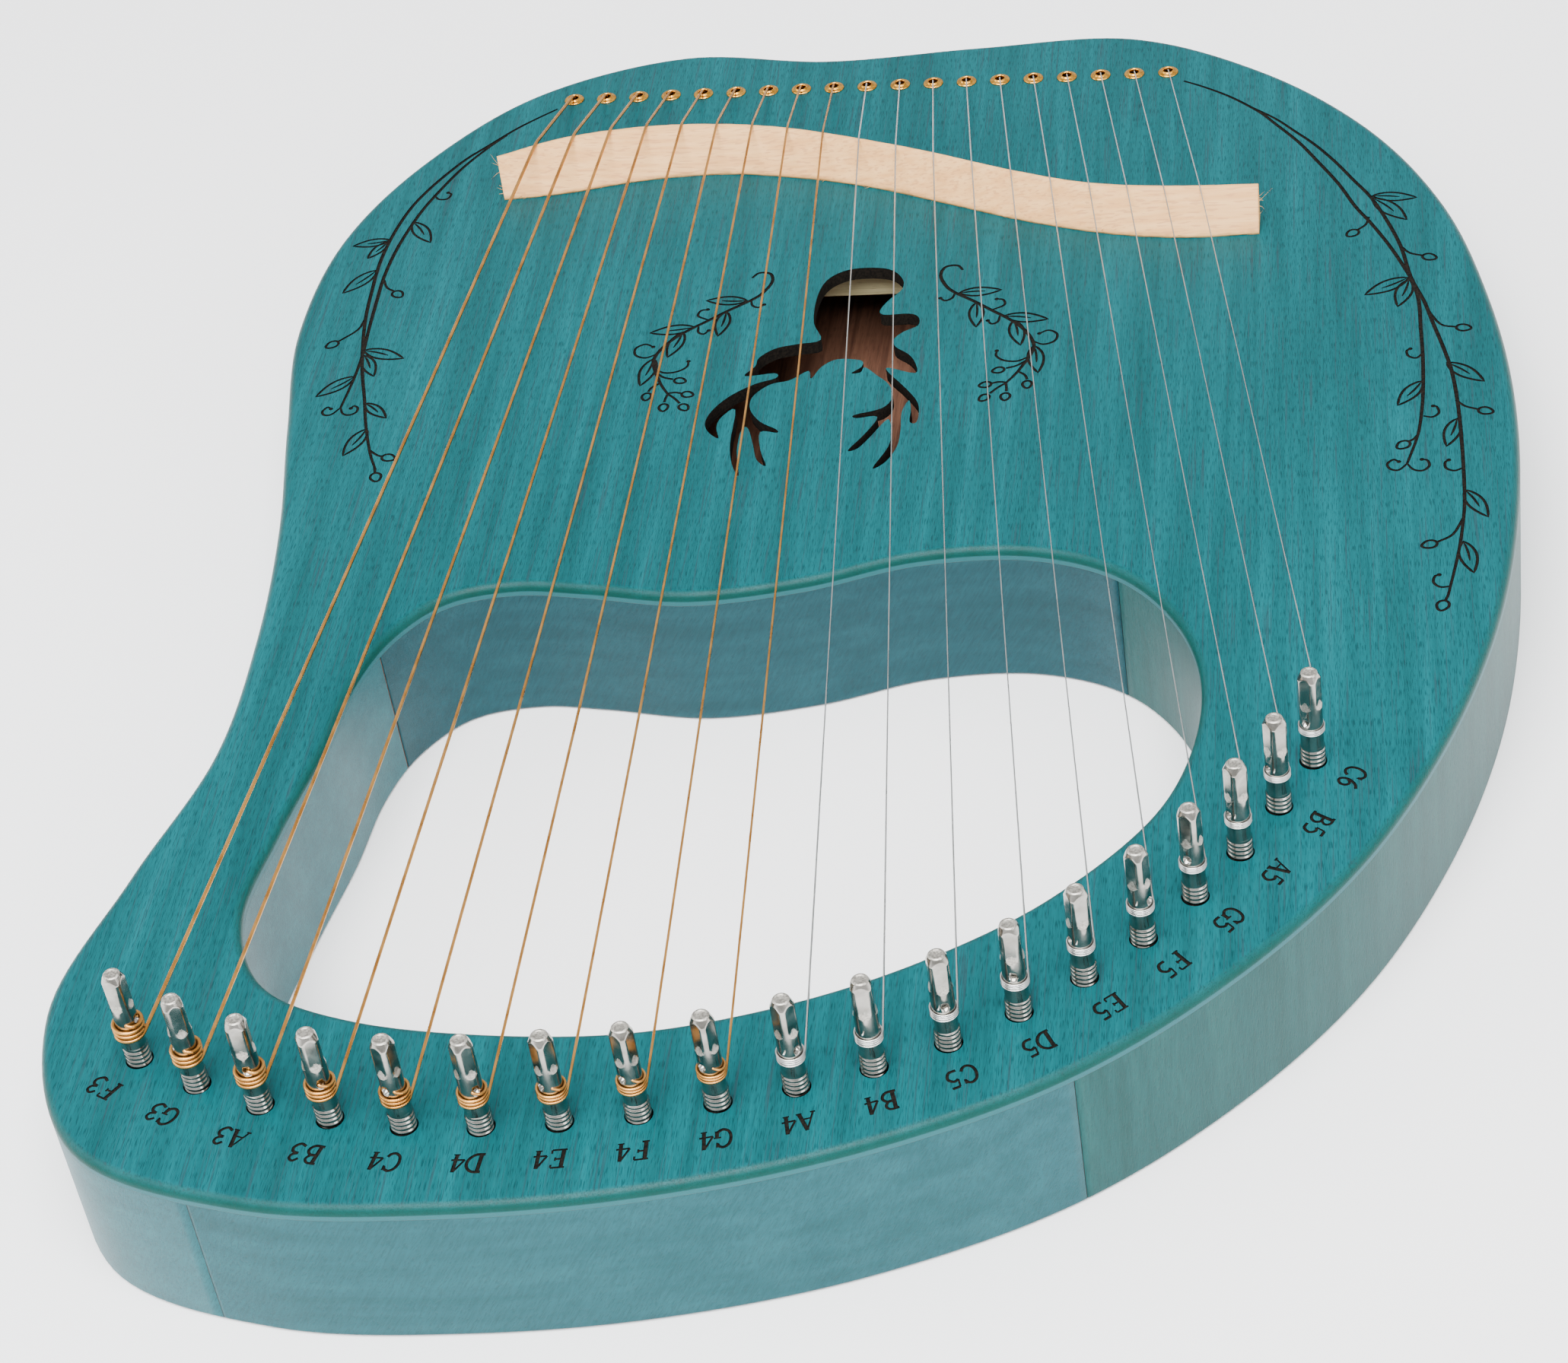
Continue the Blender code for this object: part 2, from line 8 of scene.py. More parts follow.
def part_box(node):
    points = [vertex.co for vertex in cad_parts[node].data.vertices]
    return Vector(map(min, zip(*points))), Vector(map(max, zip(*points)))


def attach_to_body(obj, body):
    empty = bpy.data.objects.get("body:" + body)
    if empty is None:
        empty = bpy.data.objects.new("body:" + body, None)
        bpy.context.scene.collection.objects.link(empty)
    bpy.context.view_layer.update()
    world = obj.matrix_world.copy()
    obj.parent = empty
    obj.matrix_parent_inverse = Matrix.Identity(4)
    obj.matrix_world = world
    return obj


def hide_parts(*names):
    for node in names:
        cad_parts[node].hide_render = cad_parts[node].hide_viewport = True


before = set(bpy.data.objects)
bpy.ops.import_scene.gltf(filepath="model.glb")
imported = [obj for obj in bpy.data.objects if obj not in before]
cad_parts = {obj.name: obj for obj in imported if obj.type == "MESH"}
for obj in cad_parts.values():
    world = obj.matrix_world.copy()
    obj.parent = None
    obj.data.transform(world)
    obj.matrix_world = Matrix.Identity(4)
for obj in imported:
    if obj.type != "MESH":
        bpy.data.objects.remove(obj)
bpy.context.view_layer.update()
mm = 0.001
print("frame loaded")

camera = {"place": (0.1323, -0.6563, 0.5447), "turn": (50.128, 7.339, 7.035), "lens": 86.92, "sensor": 36.0}
studio = {"floorHalf": 4.0, "floorDrop": 0.3, "sky": 1.05, "skyColour": (0.97, 0.985, 1.0, 1),
          "aim": (0, 0, 0.03),
          "lights": (("overhead", (0.0, -0.9, 1.7), 1.5, 115.0),
                     ("left", (-1.8, -0.2, 0.9), 1.2, 16.0),
                     ("right", (1.6, -1.0, 0.8), 1.0, 16.0))}

made = bpy.data.cameras.new("camera")
made.lens = camera["lens"]
made.sensor_width = camera["sensor"]
eye = bpy.data.objects.new("camera", made)
eye.location = camera["place"]
eye.rotation_euler = np.radians(camera["turn"])
bpy.context.scene.collection.objects.link(eye)
bpy.context.scene.camera = eye

world = bpy.data.worlds.new("studio")
world.use_nodes = True
sky = world.node_tree.nodes["Background"]
sky.inputs["Color"].default_value = studio["skyColour"]
sky.inputs["Strength"].default_value = studio["sky"]
bpy.context.scene.world = world

# each light is a square panel that faces the middle of the body: its place, side and power
for name, spot, side, power in studio["lights"]:
    lamp = bpy.data.lights.new(name, "AREA")
    lamp.size = side
    lamp.energy = power
    panel = bpy.data.objects.new(name, lamp)
    panel.location = spot
    aim = Vector(studio["aim"]) - Vector(spot)
    panel.rotation_euler = aim.to_track_quat("-Z", "Y").to_euler()
    bpy.context.scene.collection.objects.link(panel)


def paint(code):
    # sRGB hex to linear: the low end is a straight line and the rest a 2.4 power
    share = np.array([int(code[k:k + 2], 16) for k in (1, 3, 5)]) / 255
    linear = np.where(share <= 0.04045, share / 12.92, ((share + 0.055) / 1.055) ** 2.4)
    return (*linear.tolist(), 1.0)


def addNode(tree, kind, inputs=None, stops=None, **settings):
    # one shader node: settings are its own values, inputs are numbers or other nodes' sockets
    node = tree.nodes.new("ShaderNode" + kind)
    for key, value in settings.items():
        setattr(node, key, value)
    for key, value in (inputs or {}).items():
        if isinstance(value, bpy.types.NodeSocket):
            tree.links.new(value, node.inputs[key])
        else:
            node.inputs[key].default_value = value
    if stops:
        marks = node.color_ramp.elements
        while len(marks) < len(stops):
            marks.new(0.5)
        for mark, (position, colour) in zip(marks, stops):
            mark.position = position
            mark.color = colour
    return node


def noiseOf(tree, vector, scale, detail):
    inputs = {"Vector": vector, "Scale": scale, "Detail": detail}
    return addNode(tree, "TexNoise", inputs).outputs["Fac"]


def rampOf(tree, value, *stops):
    # the colour that belongs to a value: each stop is a position and its colour
    return addNode(tree, "ValToRGB", {"Fac": value}, stops=stops).outputs[0]


def mixOf(tree, share, under, over, blend="MIX"):
    node = addNode(tree, "Mix", {0: share, 6: under, 7: over}, data_type="RGBA", blend_type=blend)
    return node.outputs[2]


def objectPlace(tree):
    return addNode(tree, "TexCoord").outputs["Object"]


def newMaterial(name, **sockets):
    # a Principled material, with the numbers that are the same all over its surface
    finish = bpy.data.materials.new(name)
    finish.use_nodes = True
    shader = finish.node_tree.nodes["Principled BSDF"]
    for key, value in sockets.items():
        shader.inputs[key.replace("_", " ")].default_value = value
    return finish, finish.node_tree, shader


def grey(value):
    return (value, value, value, 1)


# mahogany, stained and sealed with a thin satin lacquer: the stain gathers in the pores,
# so they show as dark dashes along the grain, over slow bands of lighter and darker wood
def stainedMahogany(name, look):
    finish, tree, shader = newMaterial(name, Roughness=look["roughness"], IOR=1.45,
                                       Specular_IOR_Level=look["gloss"])
    place = objectPlace(tree)

    def grain(kind, detail, turn="turn"):
        # noise stretched along the grain, in cells of the look's width by length
        width, length = look[kind + "Width"] * mm, look[kind + "Length"] * mm
        stretched = addNode(tree, "Mapping", {"Vector": place, "Rotation": look[turn],
                                              "Scale": (width, length, width)}, vector_type="TEXTURE")
        return noiseOf(tree, stretched.outputs[0], 1.0, detail)

    colour = rampOf(tree, grain("band", 3.0, "bandTurn"), (0.32, paint(look["deep"])),
                    (0.5, paint(look["middle"])), (0.68, paint(look["light"])))
    fibreTone = rampOf(tree, grain("fibre", 2.0), (0.3, grey(1 - look["fibreShare"])),
                       (0.7, grey(1 + look["fibreShare"] * 0.7)))
    colour = mixOf(tree, 1.0, colour, fibreTone, "MULTIPLY")
    patchTone = rampOf(tree, noiseOf(tree, place, 14.0, 2.0), (0.3, grey(1 - look["patch"])),
                       (0.7, grey(1 + look["patch"])))
    colour = mixOf(tree, 1.0, colour, patchTone, "MULTIPLY")
    dashes = rampOf(tree, grain("pore", 1.0), (look["poreStart"], grey(0.0)),
                    (look["poreStart"] + 0.10, grey(1.0)))
    strength = addNode(tree, "Math", {0: dashes, 1: look["poreShare"]}, operation="MULTIPLY")
    colour = mixOf(tree, strength.outputs[0], colour, paint(look["pore"]))
    if "streak" in look:
        # a few thin reddish lines where the stain took less
        thin = rampOf(tree, grain("streak", 1.0), (0.60, grey(0.0)), (0.68, grey(look["streakShare"])))
        colour = mixOf(tree, thin, colour, paint(look["streak"]))
    if "edge" in look:
        # round the edge the stain lies thick and green; a pale line near the top of the round is painted
        # highlight over a little rubbed wear, and the upright wall has the pale tone of the sides, painted
        # sheen
        height = addNode(tree, "SeparateXYZ", {"Vector": place}).outputs["Z"]
        down = addNode(tree, "MapRange", {"Value": height, "From Min": look["edgeTop"] * mm,
                                          "From Max": look["edgeFoot"] * mm}).outputs[0]
        # the pale edge tone: painted highlight near the top of the round with a little rubbed wear, painted
        # sheen on the upright wall
        wearAndSheen = rampOf(tree, down, (0.0, grey(0.0)), (0.15, grey(0.12)), (0.5, grey(0.0)),
                      (0.85, grey(0.0)), (0.97, grey(0.9)))
        thick = rampOf(tree, down, (0.0, grey(0.0)), (0.06, grey(0.25)), (0.5, grey(0.7)),
                       (0.85, grey(0.7)), (1.0, grey(0.0)))
        colour = mixOf(tree, wearAndSheen, colour, paint(look["wearAndSheen"]))
        colour = mixOf(tree, thick, colour, paint(look["edge"]))
    tree.links.new(colour, shader.inputs["Base Color"])
    relief = addNode(tree, "Bump", {"Strength": 0.35, "Distance": 0.00008, "Height": dashes}, invert=True)
    tree.links.new(relief.outputs[0], shader.inputs["Normal"])
    return finish


# widths and lengths are in millimetres, turns in radians
faceLook = {
    "deep": "#004448", "middle": "#004B50", "light": "#015359", "pore": "#00191D", "gloss": 0.16,
    "roughness": 0.40, "bandWidth": 6.0, "bandLength": 150.0, "fibreWidth": 0.7, "fibreLength": 22.0,
    "fibreShare": 0.15, "poreWidth": 0.18, "poreLength": 3.0, "poreStart": 0.54, "poreShare": 0.5,
    # the edge's pale tone is painted highlight and sheen, with a little rubbed wear
    "patch": 0.05, "turn": (0, 0, 0.02), "bandTurn": (0, 0, 0.02), "edge": "#00362C", "wearAndSheen": "#245A60",
    "edgeTop": 35.97, "edgeFoot": 33.8, "streak": "#23333A", "streakWidth": 0.35, "streakLength": 26.0,
    "streakShare": 0.55}
# the sides are cut across the grain, so they show short leaning fibres and faint level bands
pinBlockLook = {
    "deep": "#0E464C", "middle": "#124B52", "light": "#175158", "pore": "#0E363C", "gloss": 0.2,
    "roughness": 0.42, "bandWidth": 4.0, "bandLength": 70.0, "fibreWidth": 0.5, "fibreLength": 6.0,
    "fibreShare": 0.16, "poreWidth": 0.26, "poreLength": 1.6, "poreStart": 0.54, "poreShare": 0.35,
    "patch": 0.03, "turn": (1.05, 0, -1.57), "bandTurn": (0, 0, 1.57)}
# copies of the same side stain that differ only by light: the bass plank is lighter, painted sheen; the
# treble plank and the hand rail are darker, painted shade
bassPlankSheenLook = dict(pinBlockLook, deep="#124E55", middle="#16545B", light="#1B5A61", gloss=0.3)
treblePlankShadeLook = dict(pinBlockLook, turn=(1.5, 0, 0), bandTurn=(1.57, 0, 0), deep="#12403F",
                       middle="#144545", light="#184A49", pore="#0F3434", poreShare=0.3, gloss=0.16)
railShadeLook = dict(pinBlockLook, deep="#0C3A41", middle="#0F3E46", light="#13434B", pore="#0A2E34", gloss=0.22)
faceWood = stainedMahogany("stainedMahoganyFace", faceLook)
pinBlockWood = stainedMahogany("stainedMahoganyPinBlock", pinBlockLook)
bassPlankSheenWood = stainedMahogany("stainedMahoganyBassPlankSheen", bassPlankSheenLook)
treblePlankShadeWood = stainedMahogany("stainedMahoganyTreblePlankShade", treblePlankShadeLook)
railShadeWood = stainedMahogany("stainedMahoganyRailShade", railShadeLook)


# bare wood seen inside the box or on the bridge: no lacquer, so it is dull, with fine dark flecks
def bareWood(name, look):
    finish, tree, shader = newMaterial(name, Roughness=look["roughness"], IOR=1.45)
    place = objectPlace(tree)

    def grain(kind, detail):
        # noise stretched along the look's axis, in cells of its width by length
        across, along = 1 / (look[kind + "Width"] * mm), 1 / (look[kind + "Length"] * mm)
        scale = tuple(along if axis == look["along"] else across for axis in "XYZ")
        stretched = addNode(tree, "Mapping", {"Vector": place, "Scale": scale})
        return noiseOf(tree, stretched.outputs[0], 1.0, detail)

    fibres = grain("fibre", 3.0)
    tone = rampOf(tree, fibres, (0.35, paint(look["deep"])), (0.65, paint(look["light"])))
    spots = rampOf(tree, grain("fleck", 0.0), (look["fleckStart"], grey(0.0)),
                   (look["fleckStart"] + 0.08, grey(look["fleckShare"])))
    tree.links.new(mixOf(tree, spots, tone, paint(look["fleck"])), shader.inputs["Base Color"])
    relief = addNode(tree, "Bump", {"Strength": 0.4, "Distance": 0.0001, "Height": fibres})
    tree.links.new(relief.outputs[0], shader.inputs["Normal"])
    return finish


boxWood = bareWood("bareMahoganyInside", {
    "roughness": 0.75, "fibreWidth": 1.2, "fibreLength": 30.0, "along": "Y", "deep": "#553526",
    "light": "#76503C", "fleckWidth": 0.3, "fleckLength": 3.0, "fleckStart": 0.58, "fleckShare": 0.3,
    "fleck": "#3A2218"})
braceWood = bareWood("bareSpruce", {
    "roughness": 0.7, "fibreWidth": 0.8, "fibreLength": 40.0, "along": "X", "deep": "#C9BE8E",
    "light": "#E6DCB0", "fleckWidth": 0.3, "fleckLength": 3.0, "fleckStart": 0.64, "fleckShare": 0.3,
    "fleck": "#8A7C50"})
beechWood = bareWood("bareBeech", {
    "roughness": 0.62, "fibreWidth": 1.4, "fibreLength": 24.0, "along": "X", "deep": "#D29A5C",
    "light": "#E0AE70", "fleckWidth": 0.45, "fleckLength": 3.6, "fleckStart": 0.60, "fleckShare": 0.55,
    "fleck": "#B98253"})
# wood charred by a laser: nearly black brown and quite dull
burntWood, tree, shader = newMaterial("laserBurntWood", Roughness=0.9, IOR=1.45, Specular_IOR_Level=0.12)
charring = noiseOf(tree, objectPlace(tree), 1800.0, 3.0)
burntTone = rampOf(tree, charring, (0.35, paint("#080706")), (0.7, paint("#1C1712")))
tree.links.new(burntTone, shader.inputs["Base Color"])


# metals: a plated or drawn surface is a tinted mirror with a little haze that varies over it,
# in cells of so many millimetres
def metal(name, colour, dark, roughness, spread, cell):
    finish, tree, shader = newMaterial(name, Metallic=1.0)
    haze = noiseOf(tree, objectPlace(tree), 1 / (cell * mm), 3.0)
    tone = rampOf(tree, haze, (0.35, paint(dark)), (0.6, paint(colour)))
    dull = addNode(tree, "MapRange", {"Value": haze, "From Min": 0.3, "From Max": 0.7,
                                      "To Min": roughness - spread, "To Max": roughness + spread})
    tree.links.new(tone, shader.inputs["Base Color"])
    tree.links.new(dull.outputs[0], shader.inputs["Roughness"])
    return finish


nickel = metal("nickelPlatedSteel", "#AAA7A0", "#8E8B84", 0.17, 0.04, 2.6)
stampedNickel = metal("nickelStampedEnd", "#C2BEB5", "#96928A", 0.45, 0.12, 0.35)
bronze = metal("phosphorBronzeWinding", "#D69C55", "#B87D3A", 0.30, 0.05, 6.0)
steel = metal("plainMusicWire", "#D6D6D4", "#C4C4C2", 0.28, 0.05, 8.0)
brass = metal("spunBrass", "#E0A548", "#B67C26", 0.24, 0.08, 0.9)

floorWhite, tree, shader = newMaterial("paintedBoard", Roughness=0.9)
shader.inputs["Base Color"].default_value = paint("#FCFCFD")
print("materials ready")


def smoothLoop(points, steps):
    # closed cubic through the points: the slope at each is half the chord of its neighbours
    p = np.array(points, float)
    a, b, c, d = (np.roll(p, k, 0)[:, None] for k in (1, 0, -1, -2))
    t = (np.arange(steps) / steps)[None, :, None]
    cubic = 2 * b + (c - a) * t + (2 * a - 5 * b + 4 * c - d) * t ** 2 + (3 * b - a - 3 * c + d) * t ** 3
    return (cubic / 2).reshape(-1, p.shape[1])


def smoothLine(points, steps):
    # the same cubic on an open row, its two end slopes carried straight on
    p = np.array(points, float)
    p = np.concatenate([2 * p[:1] - p[1:2], p, 2 * p[-1:] - p[-2:-1]])
    a, b, c, d = p[:-3, None], p[1:-2, None], p[2:-1, None], p[3:, None]
    t = (np.arange(steps) / steps)[None, :, None]
    cubic = 2 * b + (c - a) * t + (2 * a - 5 * b + 4 * c - d) * t ** 2 + (3 * b - a - 3 * c + d) * t ** 3
    return np.concatenate([(cubic / 2).reshape(-1, p.shape[1]), p[-2:-1]])


def unit(vectors):
    return vectors / np.linalg.norm(vectors, axis=-1, keepdims=True)


def toLeft(way):
    # each direction turned a quarter turn to the left
    return np.stack([-way[:, 1], way[:, 0]], 1)


def onceRound(sides):
    return 2 * np.pi * np.arange(sides) / sides


def reachAlong(line):
    # the way run along a line at each of its points
    return np.concatenate([[0], np.cumsum(np.linalg.norm(np.diff(line, axis=0), axis=1))])


def alongLine(line, places):
    # points at given distances along a line
    reach = reachAlong(line)
    return np.stack([np.interp(places, reach, line[:, k]) for k in range(line.shape[1])], 1)


def lineLength(line):
    return np.linalg.norm(np.diff(line, axis=0), axis=1).sum()


def movedLeft(loop, distance):
    # each point moved to the left of the way the loop runs, square to its neighbours
    way = unit(np.roll(loop, -1, 0) - np.roll(loop, 1, 0))
    return loop + distance * toLeft(way)


def atHeight(loop, z):
    return np.column_stack([loop, np.full(len(loop), float(z))])


def circle(x, y, radius, sides):
    turn = onceRound(sides)
    return np.stack([x + radius * np.cos(turn), y + radius * np.sin(turn)], 1)


def flatArea(loops, z, slot, up=True):
    # the flat area inside the first loop and outside the others, every triangle turned the same way
    corners = np.concatenate(loops)
    triangles = np.array(tessellate_polygon([[(*p, 0) for p in loop.tolist()] for loop in loops]))
    a, b, c = (corners[triangles[:, k]] for k in range(3))
    side = (b[:, 0] - a[:, 0]) * (c[:, 1] - a[:, 1]) - (b[:, 1] - a[:, 1]) * (c[:, 0] - a[:, 0])
    real = np.abs(side) > 1e-9
    triangles, side = triangles[real], side[real]
    wrong = (side < 0) if up else (side > 0)
    triangles[wrong] = triangles[wrong][:, ::-1]
    return atHeight(corners, z), triangles, slot, False


def sheet(rows, slot, smooth=True, around=True, over=False):
    # four-sided faces between neighbouring rows; around closes each row, over closes the stack
    rows = np.asarray(rows, float)
    count, width = rows.shape[:2]
    index = np.arange(count * width).reshape(count, width)
    below = index if over else index[:-1]
    above = np.roll(index, -1, 0) if over else index[1:]
    a, b = (below, above) if around else (below[:, :-1], above[:, :-1])
    c = np.roll(above, -1, 1) if around else above[:, 1:]
    d = np.roll(below, -1, 1) if around else below[:, 1:]
    faces = np.stack([a, d, c, b], -1).reshape(-1, 4)
    return rows.reshape(-1, 3), faces, slot, smooth


def makeMesh(name, parts, merge=0.002, outward=True):
    # the parts' corners and faces in one mesh, its doubled corners merged
    corners = np.concatenate([part[0] for part in parts]) * mm
    starts = np.cumsum([0] + [len(part[0]) for part in parts])
    faces = [face for part, start in zip(parts, starts) for face in (part[1] + start).tolist()]
    mesh = bpy.data.meshes.new(name)
    mesh.from_pydata(corners.tolist(), [], faces)
    mesh.polygons.foreach_set("material_index", np.repeat([p[2] for p in parts], [len(p[1]) for p in parts]))
    mesh.polygons.foreach_set("use_smooth", np.repeat([p[3] for p in parts], [len(p[1]) for p in parts]))
    shape = bmesh.new()
    shape.from_mesh(mesh)
    bmesh.ops.remove_doubles(shape, verts=shape.verts, dist=merge * mm)
    bmesh.ops.dissolve_degenerate(shape, edges=shape.edges, dist=1e-7)
    if outward:
        bmesh.ops.recalc_face_normals(shape, faces=shape.faces)
    shape.to_mesh(mesh)
    shape.free()
    return mesh


def wall(loop, top, bottom, slot, smooth=False):
    # a loop carried straight down
    return sheet(np.array([atHeight(loop, top), atHeight(loop, bottom)]), slot, smooth)


def endCaps(rows, slot=0):
    # the first and the last row, each closed by one flat face
    face = np.array([np.arange(rows.shape[1])])
    return [(rows[0], face, slot, False), (rows[-1], face, slot, False)]


def newObject(name, mesh, finishes):
    piece = bpy.data.objects.new(name, mesh)
    bpy.context.scene.collection.objects.link(piece)
    if not mesh.materials:
        for finish in finishes:
            mesh.materials.append(finish)
    return piece


def newPiece(name, parts, finishes):
    return newObject(name, makeMesh(name, parts), finishes)


def attach(piece, body, slot, *nodes):
    # the piece rides on its body and stands for the CAD nodes named
    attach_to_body(piece, body)
    if nodes:
        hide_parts(*nodes)


def carve(piece, toolName, toolParts, operation="DIFFERENCE", own=False):
    # a boolean, worked out once and kept in the mesh; own is for a tool of parts that overlap
    tool = newPiece(toolName, toolParts, list(piece.data.materials))
    step = piece.modifiers.new("carve", "BOOLEAN")
    step.operation = operation
    step.solver = "EXACT"
    step.use_self = own
    step.material_mode = "INDEX"
    step.object = tool
    bpy.context.view_layer.update()
    graph = bpy.context.evaluated_depsgraph_get()
    result = bpy.data.meshes.new_from_object(piece.evaluated_get(graph))
    piece.modifiers.clear()
    old = piece.data
    piece.data = result
    result.name = old.name
    bpy.data.objects.remove(tool)


bodyOutline = (
    (146, 1), (146, 41), (141, 80), (131, 119), (113, 154), (86, 183), (52, 202), (12, 201), (-27, 198),
    (-66, 203), (-103, 188), (-128, 158), (-143, 122), (-146, 82), (-140, 43), (-133, 4), (-129, -35),
    (-129, -75), (-138, -113), (-145, -152), (-130, -188), (-94, -202), (-54, -203), (-15, -198),
    (23, -187), (59, -169), (89, -143), (113, -112), (130, -76), (141, -38))
handHoleOutline = (
    (-88, -24), (-73, -20), (-57, -21.5), (-33, -25), (-8, -21), (16, -13), (41, -12), (62, -21),
    (76, -41), (80, -66), (73, -95), (53, -120.5), (29, -138), (3, -150), (-25, -157), (-54, -157.5),
    (-82, -153.5), (-102, -144), (-111, -124), (-109, -99), (-105, -73), (-103, -52), (-98, -36))
# sound hole: a stag's head, its neck towards the bridge and its antlers towards the pins
stagOutline = (
    (-7, 99.5), (-12, 98.5), (-16, 94.5), (-17.5, 87), (-17, 77), (-14.5, 70),
    (-20, 68.5), (-25, 67), (-28.5, 63.5), (-29, 60), (-31, 56.2), (-24, 57),
    (-23.5, 55), (-28, 53), (-33, 49), (-36.5, 44), (-38, 39), (-37, 35),
    (-34, 32), (-35, 36), (-34.5, 40), (-31.5, 43), (-31, 30), (-29.5, 22),
    (-27.3, 17.5), (-29, 27), (-29, 35), (-27.5, 35.5), (-25.5, 29), (-24, 23.5),
    (-21.5, 21), (-23.5, 27), (-24.5, 34), (-20.5, 33.5), (-21, 35), (-25, 38),
    (-28, 43), (-28, 48), (-24.5, 52.5), (-20, 54), (-16, 57.5), (-15, 54.3),
    (-13, 59), (-9.5, 61.8), (-4, 61), (-3.5, 58.5), (-5.7, 56), (-3.5, 56.2),
    (-2.7, 58.2), (0.5, 54.8), (3.7, 51), (5, 46), (3, 41.8), (-3.2, 39.5),
    (-2.5, 38.2), (2.3, 38.5), (0, 32), (-3.2, 26), (-1, 26.6), (1.5, 31),
    (4.8, 37.5), (6, 33), (6, 27), (3.2, 19), (6, 21.3), (8, 27), (8.2, 33),
    (7.8, 40), (9, 44.5), (9.8, 41), (10, 36.2), (11.6, 36), (11.7, 41), (10.5, 45),
    (7, 50.5), (3, 56), (3, 57.7), (9.5, 55.2), (9, 59.5), (7, 63), (3.8, 66),
    (3, 69), (5, 72), (8.3, 74.5), (8, 78), (5.5, 79.5), (0, 79.3), (-1.5, 81),
    (0, 85), (3, 90), (2.5, 94.5), (-1, 98.5))
pinLine = ((-121.8, -165), (-101, -175), (-79.5, -180.8), (-57.5, -182.8), (-35.5, -181.6),
           (-14, -178.4), (7.3, -173), (28.5, -165.2), (48.4, -153.8), (66, -139.5),
           (80.6, -122.8), (93, -103.6), (103.4, -82.6))
noteNames = ("F3", "G3", "A3", "B3", "C4", "D4", "E4", "F4", "G4",
             "A4", "B4", "C5", "D5", "E5", "F5", "G5", "A5", "B5", "C6")
body = {"depth": 36.0, "facePlate": 3.2, "backPlate": 3.0, "wall": 11.0, "ledge": 4.0, "boxLow": 4.0,
        "boxHigh": 171.0, "round": 2.2, "backRound": 0.7, "glueLine": 0.05, "steps": 12,
        "pinHole": 2.8, "stringHole": 1.85}
strung = {"wound": 9, "bassGauge": 0.90, "woundGauge": 0.55, "plainGauge": 0.42, "trebleGauge": 0.30,
          "rowY": 183.0, "rowMidX": -15.4, "pitch": 8.64, "leaveBass": 7.6, "leaveTreble": 8.6,
          "eyeUp": 11.4}

count = len(noteNames)
pinCurve = smoothLine(pinLine, 8)
pinPlaces = alongLine(pinCurve, np.linspace(0, lineLength(pinCurve), count))
grommetPlaces = np.stack([strung["rowMidX"] + strung["pitch"] * (np.arange(count) - (count - 1) / 2),
                          np.full(count, strung["rowY"])], 1)
gauges = np.concatenate([np.linspace(strung["bassGauge"], strung["woundGauge"], strung["wound"]),
                         np.linspace(strung["plainGauge"], strung["trebleGauge"], count - strung["wound"])])
outer = smoothLoop(bodyOutline, body["steps"])
hand = smoothLoop(handHoleOutline, body["steps"])
stag = smoothLoop(stagOutline, 4)[::-1]
faceTop = body["depth"]
plateLow = faceTop - body["facePlate"]


def soundBox(grow):
    # the body outline moved in by the wall, and cut straight at the near and far walls of the box
    loop = movedLeft(outer, body["wall"] - grow)
    low, high = body["boxLow"] - grow, body["boxHigh"] + grow
    return loop[(loop[:, 1] > low) & (loop[:, 1] < high)]


def roundedEdge(loop, radius, top, bottom, slot, sign=1):
    # rows down a rounded edge: moved in by r(1 - cos a) at height r sin a, then the wall straight down
    turn = np.linspace(np.pi / 2, 0, 9)
    nearFoot = bottom + sign * 0.05
    rows = [atHeight(movedLeft(loop, radius * (1 - np.cos(a))), top - sign * radius * (1 - np.sin(a)))
            for a in turn]
    # a row just short of the sharp foot keeps the wall's shading straight
    rows += [atHeight(loop, nearFoot), atHeight(loop, bottom)]
    return sheet(np.array(rows), slot)


# burnt decoration: every line of it as flat tiles, which the face plate has sunk into its top
burn = {"deep": 0.3, "stem": 0.95, "line": 0.66, "vein": 0.9, "leafWidth": 0.17, "berry": 1.5,
        "berryPoint": 0.28, "berryWidth": 0.86, "sprigBerry": 0.85, "blob": 0.55, "sprigMirrorX": -8.75,
        "letter": 4.4, "letterPitch": 0.80, "letterStart": -0.72, "letterLean": 0.10, "letterOut": 9.3,
        "letterBack": 1.4, "letterBold": 1.45}


def groove(line, width, closed=False, taper=0.0):
    # the stroke as triangles between neighbouring points; both its ends lose a share, taper, of its width
    line = np.array(line, float)
    way = unit((np.roll(line, -1, 0) - np.roll(line, 1, 0)) if closed else np.gradient(line, axis=0))
    share = np.linspace(-1, 1, len(line))[:, None]
    side = toLeft(way) * width / 2 * (1 - taper * np.abs(share) ** 3)
    left, right = line + side, line - side
    if closed:
        left, right = np.concatenate([left, left[:1]]), np.concatenate([right, right[:1]])
    first = np.stack([right[:-1], right[1:], left[1:]], 1)
    second = np.stack([right[:-1], left[1:], left[:-1]], 1)
    tiles = np.concatenate([first, second])
    sides = tiles[:, 1:] - tiles[:, :1]
    area = np.abs(sides[:, 0, 0] * sides[:, 1, 1] - sides[:, 0, 1] * sides[:, 1, 0])
    return list(tiles[area > 1e-3])


